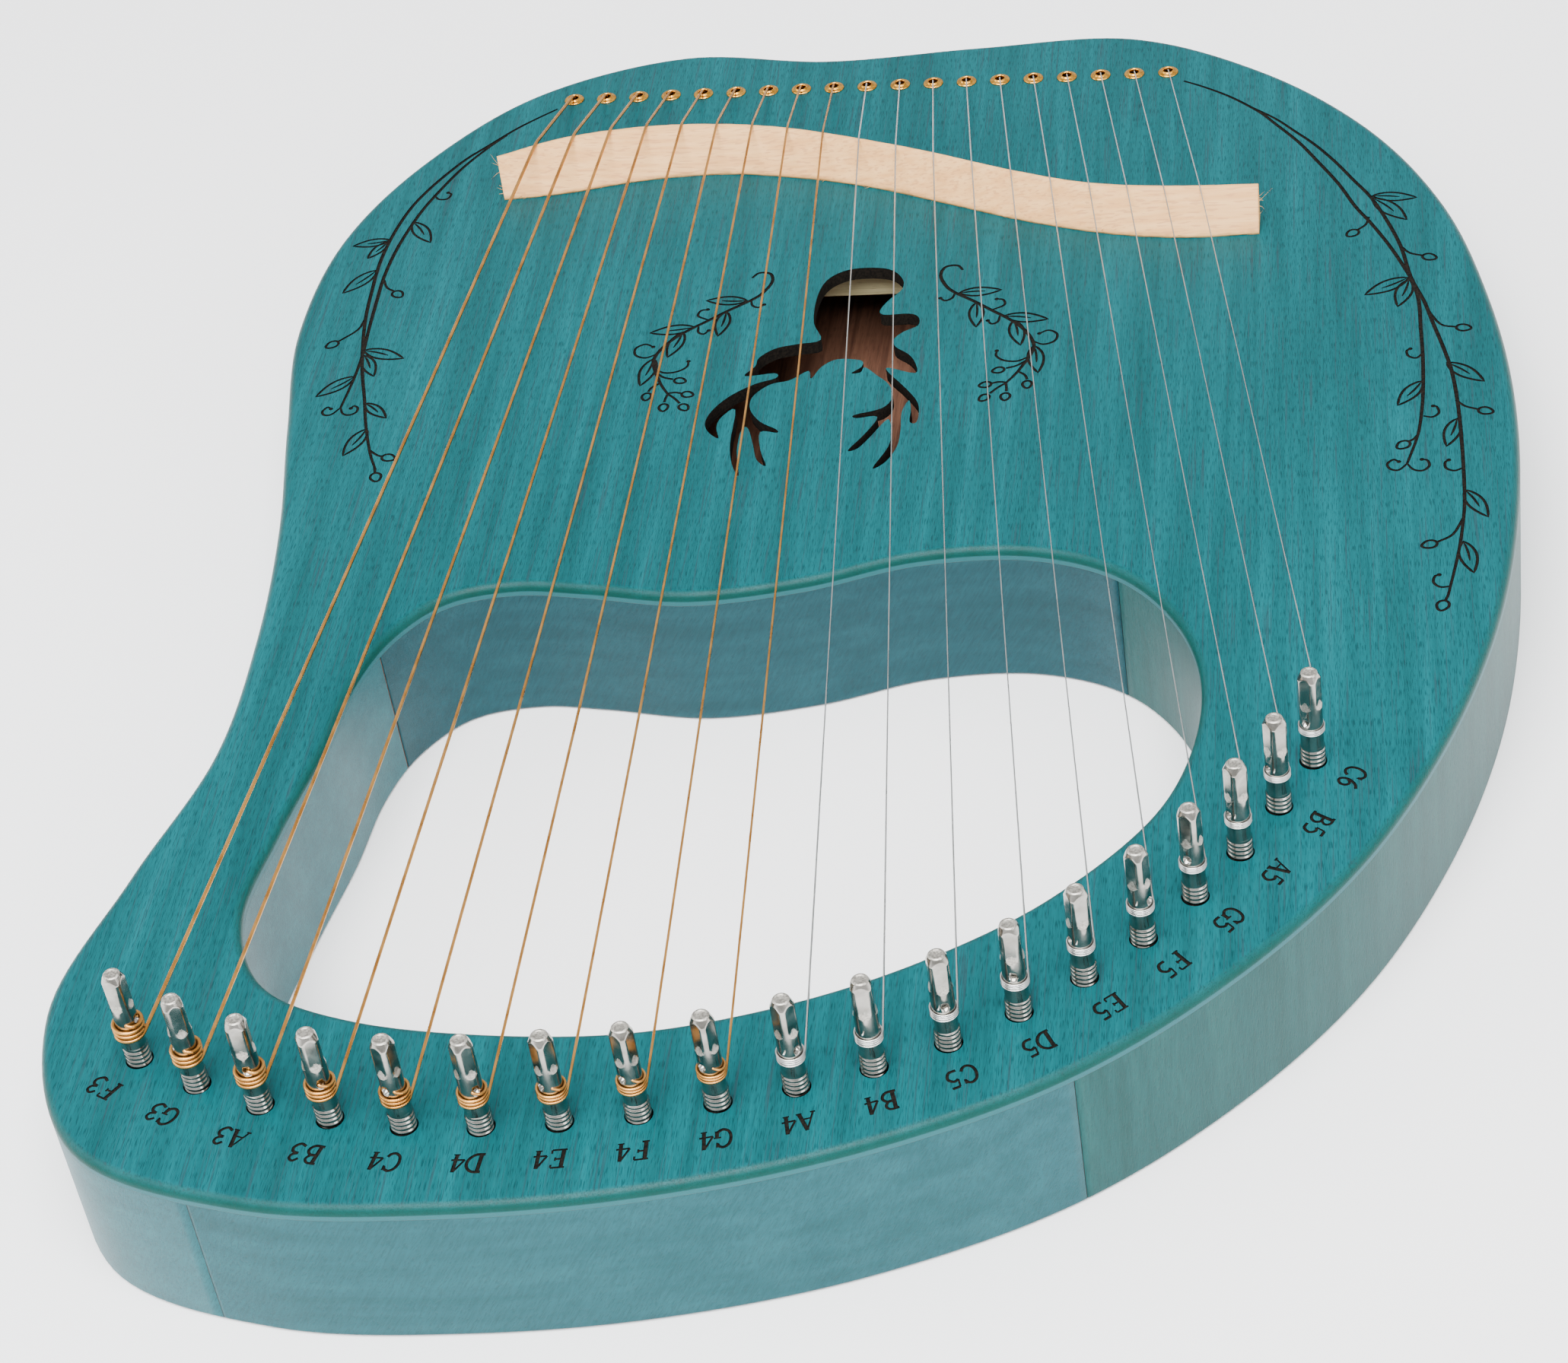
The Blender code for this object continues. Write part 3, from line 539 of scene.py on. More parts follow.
def leaf(base, tip):
    # two arcs from base to tip, bulging by the sine of the way along, and a vein on two thirds of it
    way = tip - base
    side = np.array([-way[1], way[0]]) * burn["leafWidth"]
    t = np.linspace(0, 1, 13)[:, None]
    bulge = np.sin(np.pi * t ** 0.85) ** 0.9
    loop = np.concatenate([base + way * t + side * bulge, (base + way * t - side * bulge)[-2:0:-1]])
    t = np.linspace(0, 1, 6)[:, None]
    vein = base + way * np.linspace(0.04, 0.62, 6)[:, None] + side * 0.12 * np.sin(np.pi * t)
    return groove(loop, burn["line"], closed=True) + groove(vein, burn["line"] * burn["vein"], taper=0.6)


def berry(points, radius):
    # a stalk through the points but the last, and a slightly pointed ring round the last
    stalk, middle = smoothLine(points[:-1], 4), points[-1]
    away = middle - stalk[-1]
    away /= np.linalg.norm(away)
    turn = onceRound(20)[:, None]
    reach = radius * (1 + burn["berryPoint"] * np.clip(np.cos(turn), 0, 1) ** 6)
    across = burn["berryWidth"] * np.sin(turn) * np.array([-away[1], away[0]])
    ring = middle + reach * (np.cos(turn) * away + across)
    return groove(stalk, burn["line"]) + groove(ring, burn["line"], closed=True)


def curl(points):
    # a hooked line that ends in a small blob
    blob = circle(*points[-1], burn["blob"], 10)
    return groove(smoothLine(points, 5), burn["line"], taper=0.3) + [blob]


bassVine = {
    "stems": (((-97, 179), (-101.5, 175), (-106, 170.6), (-110, 165.8), (-112.8, 162.2), (-117.2, 156.7),
               (-121.1, 150), (-124.4, 143.3), (-127.2, 136.1), (-128.9, 128.9), (-130.2, 120),
               (-130.8, 109.4), (-130.3, 98), (-129.4, 86.1), (-127.6, 74), (-125.5, 63.5), (-122.5, 52),
               (-120, 41.7), (-116.6, 30.5), (-113.9, 23.9)),
              ((-108.5, 167.2), (-111.7, 162.6), (-115, 157.2), (-118.3, 150.6), (-121.7, 141.7),
               (-124.6, 132.5), (-126.9, 121), (-128, 111.7), (-128.4, 102.8), (-128.1, 93.9),
               (-127.6, 82), (-126.9, 71), (-126.9, 61), (-127.7, 48.9))),
    "leaves": (((-125.7, 127.8), (-119.4, 118.3)), ((-130.2, 120), (-139.4, 118)),
               ((-130.6, 119.4), (-134.4, 112.2)), ((-130.9, 106.7), (-137.6, 97.2)),
               ((-126.9, 72.2), (-116.3, 68.3)), ((-126.3, 70), (-122.2, 61.3)),
               ((-126.9, 61.4), (-134.8, 53.7)), ((-121.9, 50.3), (-115.6, 44.2)),
               ((-119.4, 40), (-123, 29.8))),
    "berries": (((-128.1, 102.2), (-126.7, 98.9), (-124.6, 97.2), (-123.4, 95.9)),
                ((-129.4, 86.1), (-130.3, 81.1), (-134.2, 76.4), (-135.4, 75.2)),
                ((-116.8, 31.4), (-114.6, 29.5), (-113.2, 29), (-111.9, 28.5)),
                ((-114.4, 25), (-114, 23.6), (-113.8, 22.6), (-113.3, 21.2))),
    "curls": (((-122.8, 140.2), (-121.1, 138), (-118.9, 138), (-118.2, 140), (-119.2, 140.9)),
              ((-127.7, 48.9), (-129.4, 46.3), (-131.1, 46.1), (-131.9, 47.5), (-131.0, 49.2),
               (-130, 48.5)),
              ((-127.7, 48.9), (-126.7, 46.5), (-125, 45.8), (-123.5, 46.8), (-123.4, 48.5),
               (-124.5, 49.4), (-125.1, 48.5)))}
trebleVine = {
    "stems": (((66.5, 178.5), (72, 175), (79, 169.5), (86, 162.2), (90, 156.5), (96, 147.5), (100.5, 139),
               (106, 128), (110, 118), (114, 110), (118, 101), (121.2, 92.5), (123.6, 85), (125, 77),
               (125.4, 66), (125.8, 55), (125.8, 42), (125.3, 32), (124.4, 24.5), (122.2, 15)),
              ((83, 165.5), (90, 158.8), (95, 152.5), (100, 146), (105, 138), (109.5, 129.5), (114, 121),
               (118, 110), (121, 99.5), (123.2, 87), (126.2, 77), (128.2, 68), (130.5, 58), (132.2, 49),
               (133.3, 38), (134, 25), (134.4, 10), (134.3, -2), (133, -16), (130.6, -31))),
    "leaves": (((114.2, 122), (124.6, 120.6)), ((114.4, 121), (122.3, 111.2)),
               ((122.6, 86.8), (112.7, 80.4)), ((122.8, 86), (120.2, 75.2)),
               ((131.2, 52.4), (139.3, 44.8)), ((125.6, 45.6), (120.2, 36.7)), ((133.2, 31), (130.8, 21)),
               ((134.6, 5), (139.3, -4.6)), ((134, -13), (136, -23.6))),
    "berries": (((113.4, 113), (112.7, 109.8), (110.8, 107.6), (109.7, 106.4)),
                ((121.2, 99.5), (123, 97), (126, 95.7), (127.4, 95.1)),
                ((126.8, 74), (129.8, 67.6), (133.4, 66.2), (134.9, 65.9)),
                ((133, 38), (135, 35.6), (138, 34.2), (139.3, 33.7)),
                ((124.5, 25.4), (123.7, 24), (122.4, 22.9), (121.5, 22)),
                ((134, -5), (131.8, -10.4), (128.4, -13), (127, -13.6)),
                ((130.6, -31), (130.3, -31.9), (129.9, -32.9), (129.5, -34.2))),
    "curls": (((125.9, 56.6), (124.4, 54.6), (122.6, 55.4), (122.2, 57.4), (123, 58.2)),
              ((125.8, 32.4), (127.8, 31.9), (129.2, 33.4), (128.8, 35.6), (128, 36)),
              ((134.3, 13), (132.4, 12), (130.6, 13), (130.4, 15), (131.2, 15.9)),
              ((131.2, -28), (129, -28.2), (127.6, -26.6), (127.9, -24.6), (128.8, -24.1)),
              ((122.2, 15), (120.4, 12.8), (118.6, 13.2), (117.9, 15), (119.2, 16.6), (120.4, 15.8)),
              ((122.2, 15), (123.6, 12.8), (125.6, 12.4), (127, 14), (126.6, 16), (125.4, 16.4)))}
sprig = {
    "stems": (((17, 97), (15.5, 99), (12.7, 98.5), (11.8, 95), (13.5, 90.5), (16, 87.5), (21, 83.5),
               (25.5, 79.5), (29, 76.5), (32.4, 73), (35, 69), (36.5, 64.5), (35.8, 60.5), (34.5, 57),
               (33, 53.5), (31, 50)),),
    "leaves": (((17, 87.3), (27, 88)), ((21.5, 83), (22.2, 73)), ((28.5, 77), (39, 75.2)),
               ((31, 75), (33.3, 65)), ((36.5, 64.5), (38.2, 53.8))),
    "berries": (((35, 58.6), (33, 56.8), (30.6, 55.9), (29, 55.3)),
                ((33.6, 54.4), (35.2, 53), (35.9, 51.2), (36, 49.4)),
                ((31.2, 50.3), (29.4, 50.6), (27.9, 50.2), (26.4, 49.7)),
                ((31, 50), (31.3, 48.4), (31.4, 46.8), (31.3, 44.9)),
                ((31, 50), (29.3, 48.4), (27.6, 46.2), (26.5, 44.7))),
    "curls": (((16, 87.4), (15.4, 85.2), (13.8, 84.3), (12.6, 85.4)),
              ((25.5, 79.8), (28.2, 81.6), (27.8, 83.8), (26.2, 84.2)),
              ((27.5, 77.2), (27.2, 74.8), (25.8, 74), (24.8, 75.4)),
              ((36, 66.5), (38.6, 65), (41.2, 66.2), (41.6, 69), (39.5, 70.6), (37.4, 69.4)),
              ((35.6, 60.2), (33, 58.6), (30, 59), (28, 60.8), (27.9, 63)))}


def drawn(motif, mirrorX=None, berrySize=1.0):
    # every line of a motif; mirrorX turns it over about an upright line
    def own(points):
        points = np.array(points, float)
        if mirrorX is not None:
            points[:, 0] = 2 * mirrorX - points[:, 0]
        return points
    tiles = []
    for points in motif["stems"]:
        tiles += groove(smoothLine(own(points), 4), burn["stem"], taper=0.35)
    for ends in motif["leaves"]:
        tiles += leaf(*own(ends))
    for points in motif["berries"]:
        tiles += berry(own(points), burn["berry"] * berrySize)
    for points in motif["curls"]:
        tiles += curl(own(points))
    return tiles


# letters and figures on a square of side 1: each stroke is its points, its width and whether it is
# curved; what several of them share comes first
upright = (((0.15, 0), (0.15, 1)), 0.13, 0)
topBar = (((0, 1), (0.6, 1)), 0.07, 0)
midBar = (((0.15, 0.52), (0.46, 0.52)), 0.07, 0)
midSerif = (((0.46, 0.42), (0.46, 0.62)), 0.06, 0)
hook = (((0.65, 0.7), (0.65, 0.98)), 0.06, 0)
bow = (((0.64, 0.76), (0.55, 0.93), (0.36, 1.0), (0.14, 0.84), (0.06, 0.5), (0.14, 0.16), (0.36, 0.0),
        (0.56, 0.06), (0.66, 0.22)), 0.1, 1)
glyphs = {
    "A": ((((0.05, 0), (0.36, 1)), 0.06, 0), (((0.36, 1), (0.66, 0)), 0.13, 0),
          (((0.16, 0.34), (0.56, 0.34)), 0.06, 0), (((-0.05, 0), (0.17, 0)), 0.06, 0),
          (((0.54, 0), (0.79, 0)), 0.06, 0)),
    "B": (upright, (((0.0, 1), (0.38, 0.99), (0.54, 0.77), (0.38, 0.54), (0.15, 0.53)), 0.09, 1),
          (((0.15, 0.53), (0.46, 0.52), (0.62, 0.27), (0.44, 0.01), (0.0, 0.0)), 0.1, 1)),
    "C": (bow, hook),
    "D": (upright, (((0.0, 1), (0.38, 0.98), (0.62, 0.78), (0.7, 0.5), (0.62, 0.22), (0.38, 0.02),
                     (0.0, 0.0)), 0.1, 1)),
    "E": (upright, topBar, midBar, (((0, 0), (0.64, 0)), 0.07, 0), (((0.6, 1), (0.6, 0.82)), 0.06, 0),
          midSerif, (((0.64, 0), (0.64, 0.2)), 0.06, 0)),
    "F": (upright, topBar, midBar, (((0, 0), (0.32, 0)), 0.07, 0), (((0.6, 1), (0.6, 0.8)), 0.06, 0),
          midSerif),
    "G": (bow, hook, (((0.66, 0.05), (0.66, 0.42)), 0.12, 0), (((0.48, 0.43), (0.8, 0.43)), 0.06, 0)),
    "3": ((((0.07, 0.82), (0.26, 1.0), (0.46, 0.88), (0.44, 0.66), (0.2, 0.54)), 0.09, 1),
          (((0.2, 0.54), (0.46, 0.48), (0.54, 0.24), (0.32, 0.0), (0.04, 0.1)), 0.1, 1)),
    "4": ((((0.42, 1), (0.42, 0)), 0.12, 0), (((0.4, 0.98), (0.03, 0.3)), 0.07, 0),
          (((0.03, 0.3), (0.62, 0.3)), 0.07, 0), (((0.28, 0), (0.56, 0)), 0.05, 0)),
    "5": ((((0.5, 0.99), (0.14, 0.99)), 0.1, 0), (((0.14, 1.0), (0.1, 0.56)), 0.06, 0),
          (((0.1, 0.56), (0.32, 0.62), (0.53, 0.38), (0.4, 0.06), (0.06, 0.04)), 0.1, 1)),
    "6": ((((0.5, 0.98), (0.24, 0.8), (0.09, 0.42), (0.16, 0.1), (0.32, 0.0), (0.51, 0.15), (0.5, 0.42),
            (0.3, 0.55), (0.11, 0.4)), 0.1, 1),)}


def label(text, middle, up):
    # the strokes of a note name, its tops pointing along up
    along = np.array([up[1], -up[0]])
    tiles = []
    for number, letter in enumerate(text):
        start = np.array([burn["letterStart"] + burn["letterPitch"] * number, -0.5])
        for points, width, curved in glyphs[letter]:
            line = smoothLine(points, 5) if curved else np.array(points, float)
            line = line + start
            line[:, 0] += burn["letterLean"] * line[:, 1]
            line = middle + burn["letter"] * (line[:, :1] * along + line[:, 1:] * up)
            tiles += groove(line, width * burn["letter"] * burn["letterBold"])
    return tiles


strokes = drawn(bassVine) + drawn(trebleVine) + drawn(sprig, berrySize=burn["sprigBerry"])
strokes += drawn(sprig, burn["sprigMirrorX"], burn["sprigBerry"])
pinWay = unit(np.gradient(pinPlaces, axis=0))
for name, spot, way, up in zip(noteNames, pinPlaces, pinWay, -toLeft(pinWay)):
    strokes += label(name, spot + up * burn["letterOut"] - way * burn["letterBack"], up)
print("burnt lines")


def trimmed(corners, faces, slot):
    # only the corners that the faces use
    used, index = np.unique(faces, return_inverse=True)
    return corners[used], index.reshape(faces.shape), slot, False


def edgesOf(triangles):
    return np.stack([triangles, np.roll(triangles, -1, 1)], -1).reshape(-1, 2)


def engraved(loops, tiles, top, bottom):
    # the flat area inside the first loop and outside the others, sunk to bottom where a tile lies:
    # one net of triangles over all the shapes, sorted by the shapes that each triangle is inside
    shapes = []
    for shape in list(loops) + list(tiles):
        x, y = shape.T
        turnsLeft = (x * np.roll(y, -1) - y * np.roll(x, -1)).sum() > 0
        shapes.append(shape if turnsLeft else shape[::-1])
    starts = np.cumsum([0] + [len(shape) for shape in shapes])
    faces = [list(range(a, b)) for a, b in zip(starts, starts[1:])]
    points = [Vector(point) for point in np.concatenate(shapes).tolist()]
    points, _, triangles, _, _, sources = delaunay_2d_cdt(points, [], faces, 1, 1e-4, True)
    loopCount = len(loops)
    inside = np.array([0 in source and not any(0 < k < loopCount for k in source) for source in sources])
    sunk = np.array([any(k >= loopCount for k in source) for source in sources])
    triangles = np.array(triangles)
    level, low = triangles[inside & ~sunk], triangles[inside & sunk]
    # walls stand on the edges that a sunk triangle shares with a level one
    size = len(points)
    edges = edgesOf(low)
    own, other = (pair.min(1) * size + pair.max(1) for pair in (edges, edgesOf(level)))
    rim = edges[np.isin(own, other)]
    walls = np.stack([rim[:, 0], rim[:, 1], rim[:, 1] + size, rim[:, 0] + size], 1)
    flat = np.array([point[:] for point in points])
    upper, lower = atHeight(flat, top), atHeight(flat, bottom)
    return [trimmed(upper, level, 0), trimmed(lower, low, 1),
            trimmed(np.concatenate([upper, lower]), walls, 1)]


# face plate: flat top with rounded outer and hand hole edges, sharp walls at the sound hole
holes = [circle(*spot, body["pinHole"], 28)[::-1] for spot in pinPlaces]
holes += [circle(*spot, body["stringHole"], 20)[::-1] for spot in grommetPlaces]
topLoops = [movedLeft(outer, body["round"]), movedLeft(hand, body["round"]), stag] + holes
parts = engraved(topLoops, strokes, faceTop, faceTop - burn["deep"])
parts += [flatArea([outer, hand, stag] + holes, plateLow, 2, up=False),
          roundedEdge(outer, body["round"], faceTop, plateLow, 0),
          roundedEdge(hand, body["round"], faceTop, plateLow, 0), wall(stag, faceTop, plateLow, 1)]
parts += [wall(hole, faceTop, plateLow, 1, smooth=True) for hole in holes]
facePlate = newPiece("facePlate", parts, (faceWood, burntWood, boxWood))
attach(facePlate, "body", "stained_mahogany_face", "face_plate")
print("face plate")

# blocks: the ring between the plates, shared out by straight glue lines; far is past the body
seams = {"bass": -104.4, "bassFar": -100.0, "treble": 60.5, "trebleFar": 68.0, "stepBass": -74.0,
         "pinBlockEnd": -90.0, "stepTreble": 90.0, "railEnd": 60.0, "stringBlockStart": 120.0, "far": 260.0}
wells = {"past": 50.0, "under": -2.0, "pinFloor": 14.5, "boreLow": 3.0, "bore": 1.3, "pocketTop": 6.0,
         "pocket": 2.7}
gap = body["glueLine"]
far = seams["far"]


def box(x0, y0, x1, y1):
    return np.array([(x0, y0), (x1, y0), (x1, y1), (x0, y1)], float)


shares = {
    "bass_side_plank": np.array([
        (-far, -far), (seams["bass"] - gap, -far), (seams["bass"] - gap, seams["stepBass"]),
        (seams["bassFar"] - gap, seams["stepBass"]), (seams["bassFar"] - gap, far), (-far, far)]),
    "treble_side_plank": np.array([
        (seams["treble"] + gap, -far), (far, -far), (far, far), (seams["trebleFar"] + gap, far),
        (seams["trebleFar"] + gap, seams["stepTreble"]), (seams["treble"] + gap, seams["stepTreble"])]),
    "pin_block": box(seams["bass"] + gap, -far, seams["treble"] - gap, seams["pinBlockEnd"]),
    "hand_rail": box(seams["bassFar"] + gap, seams["stepBass"], seams["treble"] - gap, seams["railEnd"]),
    "string_block": box(seams["bassFar"] + gap, seams["stringBlockStart"], seams["trebleFar"] - gap, far)}
# the bass plank's wood carries painted sheen, and the treble plank's and the rail's carry painted shade
blockLooks = {"bass_side_plank": ("bassSidePlank", bassPlankSheenWood),
              "treble_side_plank": ("trebleSidePlank", treblePlankShadeWood),
              "pin_block": ("pinBlock", pinBlockWood), "hand_rail": ("handRail", railShadeWood),
              "string_block": ("stringBlock", pinBlockWood)}
blockTop = plateLow - 0.03     # a hair of room under the face plate


def prism(loop, low, high, slot):
    return [flatArea([loop], high, slot), flatArea([loop], low, slot, up=False),
            wall(loop, high, low, slot)]


def rod(spot, low, high, radius, sides):
    return prism(circle(*spot, radius, sides), low, high, 1)


boxLoop = soundBox(0)
backEdge = body["backRound"]
for node, share in shares.items():
    pieceName, finish = blockLooks[node]
    low = [movedLeft(outer, backEdge), movedLeft(hand, backEdge), boxLoop[::-1]]
    parts = [flatArea([outer, hand, boxLoop[::-1]], blockTop, 1), flatArea(low, 0, 0, up=False),
             roundedEdge(outer, backEdge, 0, blockTop, 0, sign=-1),
             roundedEdge(hand, backEdge, 0, blockTop, 0, sign=-1), wall(boxLoop, blockTop, 0, 1)]
    block = newPiece(pieceName, parts, (finish, boxWood))
    carve(block, "share", prism(share, -5, wells["past"], 1), "INTERSECT")
    if node != "pin_block":
        rebate = soundBox(body["ledge"] + 0.05)
        carve(block, "rebate", prism(rebate, wells["under"], body["backPlate"] + 0.02, 1))
    tools = []
    if node in ("pin_block", "bass_side_plank", "treble_side_plank"):
        for spot in pinPlaces:
            tools += rod(spot, wells["pinFloor"], wells["past"], body["pinHole"], 20)
    if node == "string_block":
        for spot in grommetPlaces:
            tools += rod(spot, wells["boreLow"], wells["past"], wells["bore"], 16)
            tools += rod(spot, wells["under"], wells["pocketTop"], wells["pocket"], 24)
    if tools:
        carve(block, "wells", tools, own=True)
    attach(block, "body", "stained_mahogany_sides", node)
print("blocks")

# back plate: let in flush, stained outside and bare inside
backBevel = 0.3
backLoop = soundBox(body["ledge"])
inner = movedLeft(backLoop, backBevel)
sides = [atHeight(inner, 0), atHeight(backLoop, backBevel), atHeight(backLoop, body["backPlate"])]
parts = [flatArea([inner], 0, 0, up=False), flatArea([backLoop], body["backPlate"], 1),
         sheet(np.array(sides), 0, smooth=False)]
attach(newPiece("backPlate", parts, (faceWood, boxWood)), "body", "stained_mahogany_back", "back_plate")
print("back plate")

# braces: a bar whose free side is planed down towards its ends and rounded across
planed = {"share": 0.16, "end": 0.38, "crown": 0.08, "lengthSteps": 33, "roundSteps": 9}


def brace(name, node, freeSideDown):
    low, high = (np.array(c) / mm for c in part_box(node))
    along = np.linspace(0, 1, planed["lengthSteps"])
    ends = np.clip(np.minimum(along, 1 - along) / planed["share"], 0, 1)
    rise = 0.5 - 0.5 * np.cos(np.pi * ends)
    deep = (high[2] - low[2]) * (planed["end"] + (1 - planed["end"]) * rise)   # height along the bar
    turn = np.linspace(0, np.pi, planed["roundSteps"])
    across = np.concatenate([[0, 1], 0.5 + 0.5 * np.cos(turn)])
    drop = np.concatenate([[0, 0], 1 - planed["crown"] + planed["crown"] * np.sin(turn)])
    x = low[0] + (high[0] - low[0]) * along[:, None] + 0 * across
    y = low[1] + (high[1] - low[1]) * across + 0 * x
    z = (high[2] - deep[:, None] * drop) if freeSideDown else (low[2] + deep[:, None] * drop)
    rows = np.stack([x, y, z], -1)
    piece = newPiece(name, [sheet(rows, 0, smooth=False)] + endCaps(rows), (braceWood,))
    attach(piece, "body", "spruce_braces", node)


brace("farBrace", "soundboard_brace_far", True)
brace("nearBrace", "soundboard_brace_near", True)
brace("backBrace", "back_brace", False)
print("braces")

# bridge: a wedge sawn to an S, its slope rising from the near edge to a narrow land, its back upright
bridgeNear = ((-103.5, 136.3), (-88, 138), (-68, 142.4), (-48, 143.8), (-28, 140.6),
              (-8, 134.4), (12, 125.4), (32, 116.4), (52, 109.8), (70, 107), (87.5, 107.4))
bridgeFar = ((-105.2, 143), (-89, 150.5), (-69.5, 154), (-50, 153.8), (-32, 150.6),
             (-12.5, 144), (6.5, 136.2), (26, 127), (45.5, 119.6), (66, 116.5), (87.5, 115.8))
bridge = {"top": 9.0, "land": 1.2, "steps": 40, "sawMarks": 0.16, "fuzz": 46, "fuzzThick": 0.10,
          "fuzzLength": (0.4, 1.3), "endEvery": 4, "crestRow": 8}
chance = np.random.default_rng(11)


def roughness(size, count, cell):
    # seeded wobble along a line: random values every few points, joined by straight lines
    knots = chance.normal(size=count // cell + 2)
    return size * np.interp(np.arange(count) / cell, np.arange(len(knots)), knots)


near, farLine = smoothLine(bridgeNear, bridge["steps"]), smoothLine(bridgeFar, bridge["steps"])
inward = unit(near - farLine)
land = farLine + inward * bridge["land"]
columns = len(near)
# each row of the section: share of the way near to land (or land to far, over 1), height, and roughness
section = ((0.0, 0.0, 0.5), (0.0, 0.5, 1.0), (0.012, 0.95, 0.8), (0.05, 1.35, 0.2), (0.25, 2.95, 0),
           (0.5, 4.97, 0), (0.75, 6.98, 0), (0.93, 8.42, 0), (1.0, 8.86, 0), (1.4, 9.0, 0.1),
           (1.85, 8.97, 0.4), (2.0, 8.7, 0.6), (2.0, 6.0, 0.3), (2.0, 3.0, 0.2), (2.0, 0.0, 0.2))
rows = []
for share, height, wild in section:
    spot = near + (land - near) * min(share, 1) + (farLine - land) * max(share - 1, 0)
    side = inward * (1 if share < 1 else -1)
    wobble = np.clip(roughness(0.6, columns, 3) + roughness(0.6, columns, 7), -1.6, 1.0)
    push = bridge["sawMarks"] * wild * wobble
    rows.append(np.column_stack([spot + side * push[:, None], np.full(columns, faceTop + height)]))
rows = np.array(rows)
parts = [sheet(rows, 0, around=False, over=True)] + endCaps(rows.transpose(1, 0, 2))
# loose fibres left by the saw: thin curved slivers along the near edge and, longer, at the two ends
t = np.linspace(0, 1, 6)[:, None]
for k in range(bridge["fuzz"]):
    at = chance.integers(2, columns - 2)
    root = np.array([*near[at], faceTop + chance.uniform(0.2, 0.9)])
    level = inward[at] * chance.uniform(0.3, 1.0) + chance.normal(size=2) * 0.5
    lean = np.array([*level, chance.uniform(0, 0.4)])
    atEnd = k % bridge["endEvery"] == 0
    if atEnd:
        edge, out = (0, -1.0) if k % (2 * bridge["endEvery"]) == 0 else (-1, 1.0)
        blend = chance.uniform(0.1, 0.9)
        root = rows[1, edge] * (1 - blend) + rows[bridge["crestRow"], edge] * blend
        lean = np.array([out * chance.uniform(0.5, 1.2), *chance.normal(size=2) * 0.5])
    reach = chance.uniform(*bridge["fuzzLength"]) * (2.0 if atEnd else 1.0)
    spine = root + lean * t * reach + chance.normal(size=3) * 0.35 * t ** 2 * reach
    spine[:, 2] = np.maximum(spine[:, 2], faceTop + 0.1)
    thick = bridge["fuzzThick"] * (1 - 0.85 * t)
    turn = onceRound(3)
    ring = spine[:, None] + thick[:, None] * np.stack([0 * turn, np.cos(turn), np.sin(turn)], 1)
    parts += [sheet(ring, 0)] + endCaps(ring)
attach(newPiece("beechBridge", parts, (beechWood,)), "body", "beech_bridge", "bridge")
print("bridge")


def turned(profile, sides, middle=(0, 0), lift=0.0):
    # a closed profile of radius and height carried once round an upright axis
    angle = onceRound(sides)
    profile = np.array(profile, float)
    radius, height = profile[:, :1], profile[:, 1:] + lift
    rows = np.stack([middle[0] + radius * np.cos(angle), middle[1] + radius * np.sin(angle),
                     height + 0 * angle], -1)
    return sheet(rows, 0, over=True)


# grommets: a spun brass eyelet, rolled lip round the hole, a step and a thin outer flange;
# its heights are from the face
grommetProfile = (
    (1.15, -3.6), (1.15, 0.2), (1.17, 0.62), (1.28, 0.85), (1.46, 0.93), (1.62, 0.84), (1.70, 0.62),
    (1.80, 0.50), (2.05, 0.50), (2.30, 0.44), (2.50, 0.30), (2.60, 0.12), (2.58, 0.0), (1.78, 0.0),
    (1.78, -3.6))
for k, spot in enumerate(grommetPlaces):
    piece = newPiece("grommet_" + noteNames[k], [turned(grommetProfile, 32, spot, faceTop)], (brass,))
    attach(piece, "body", "brass_grommets", *(("string_grommets",) if k == 0 else ()))
print("grommets")

# tuning pin: threaded foot, round shank, then four flats milled into the round below a round chamfered
# top; its heights are from the face
pin = {"foot": -20.6, "top": 23.4, "shank": 2.34, "thread": 2.58, "root": 2.28, "pitch": 1.08,
       "threadTop": 4.4, "flat": 2.02, "flatFrom": 14.6, "runOut": 1.8, "eye": 0.85, "eyeSides": 20,
       "drill": 4.0, "sides": 64, "taper": 0.06, "taperFrom": 16.0, "taperOver": 7.0, "chamferFrom": 1.7,
       "chamferSlope": 0.46, "spot": 2.2, "spotWide": 0.62, "topDull": 0.26}


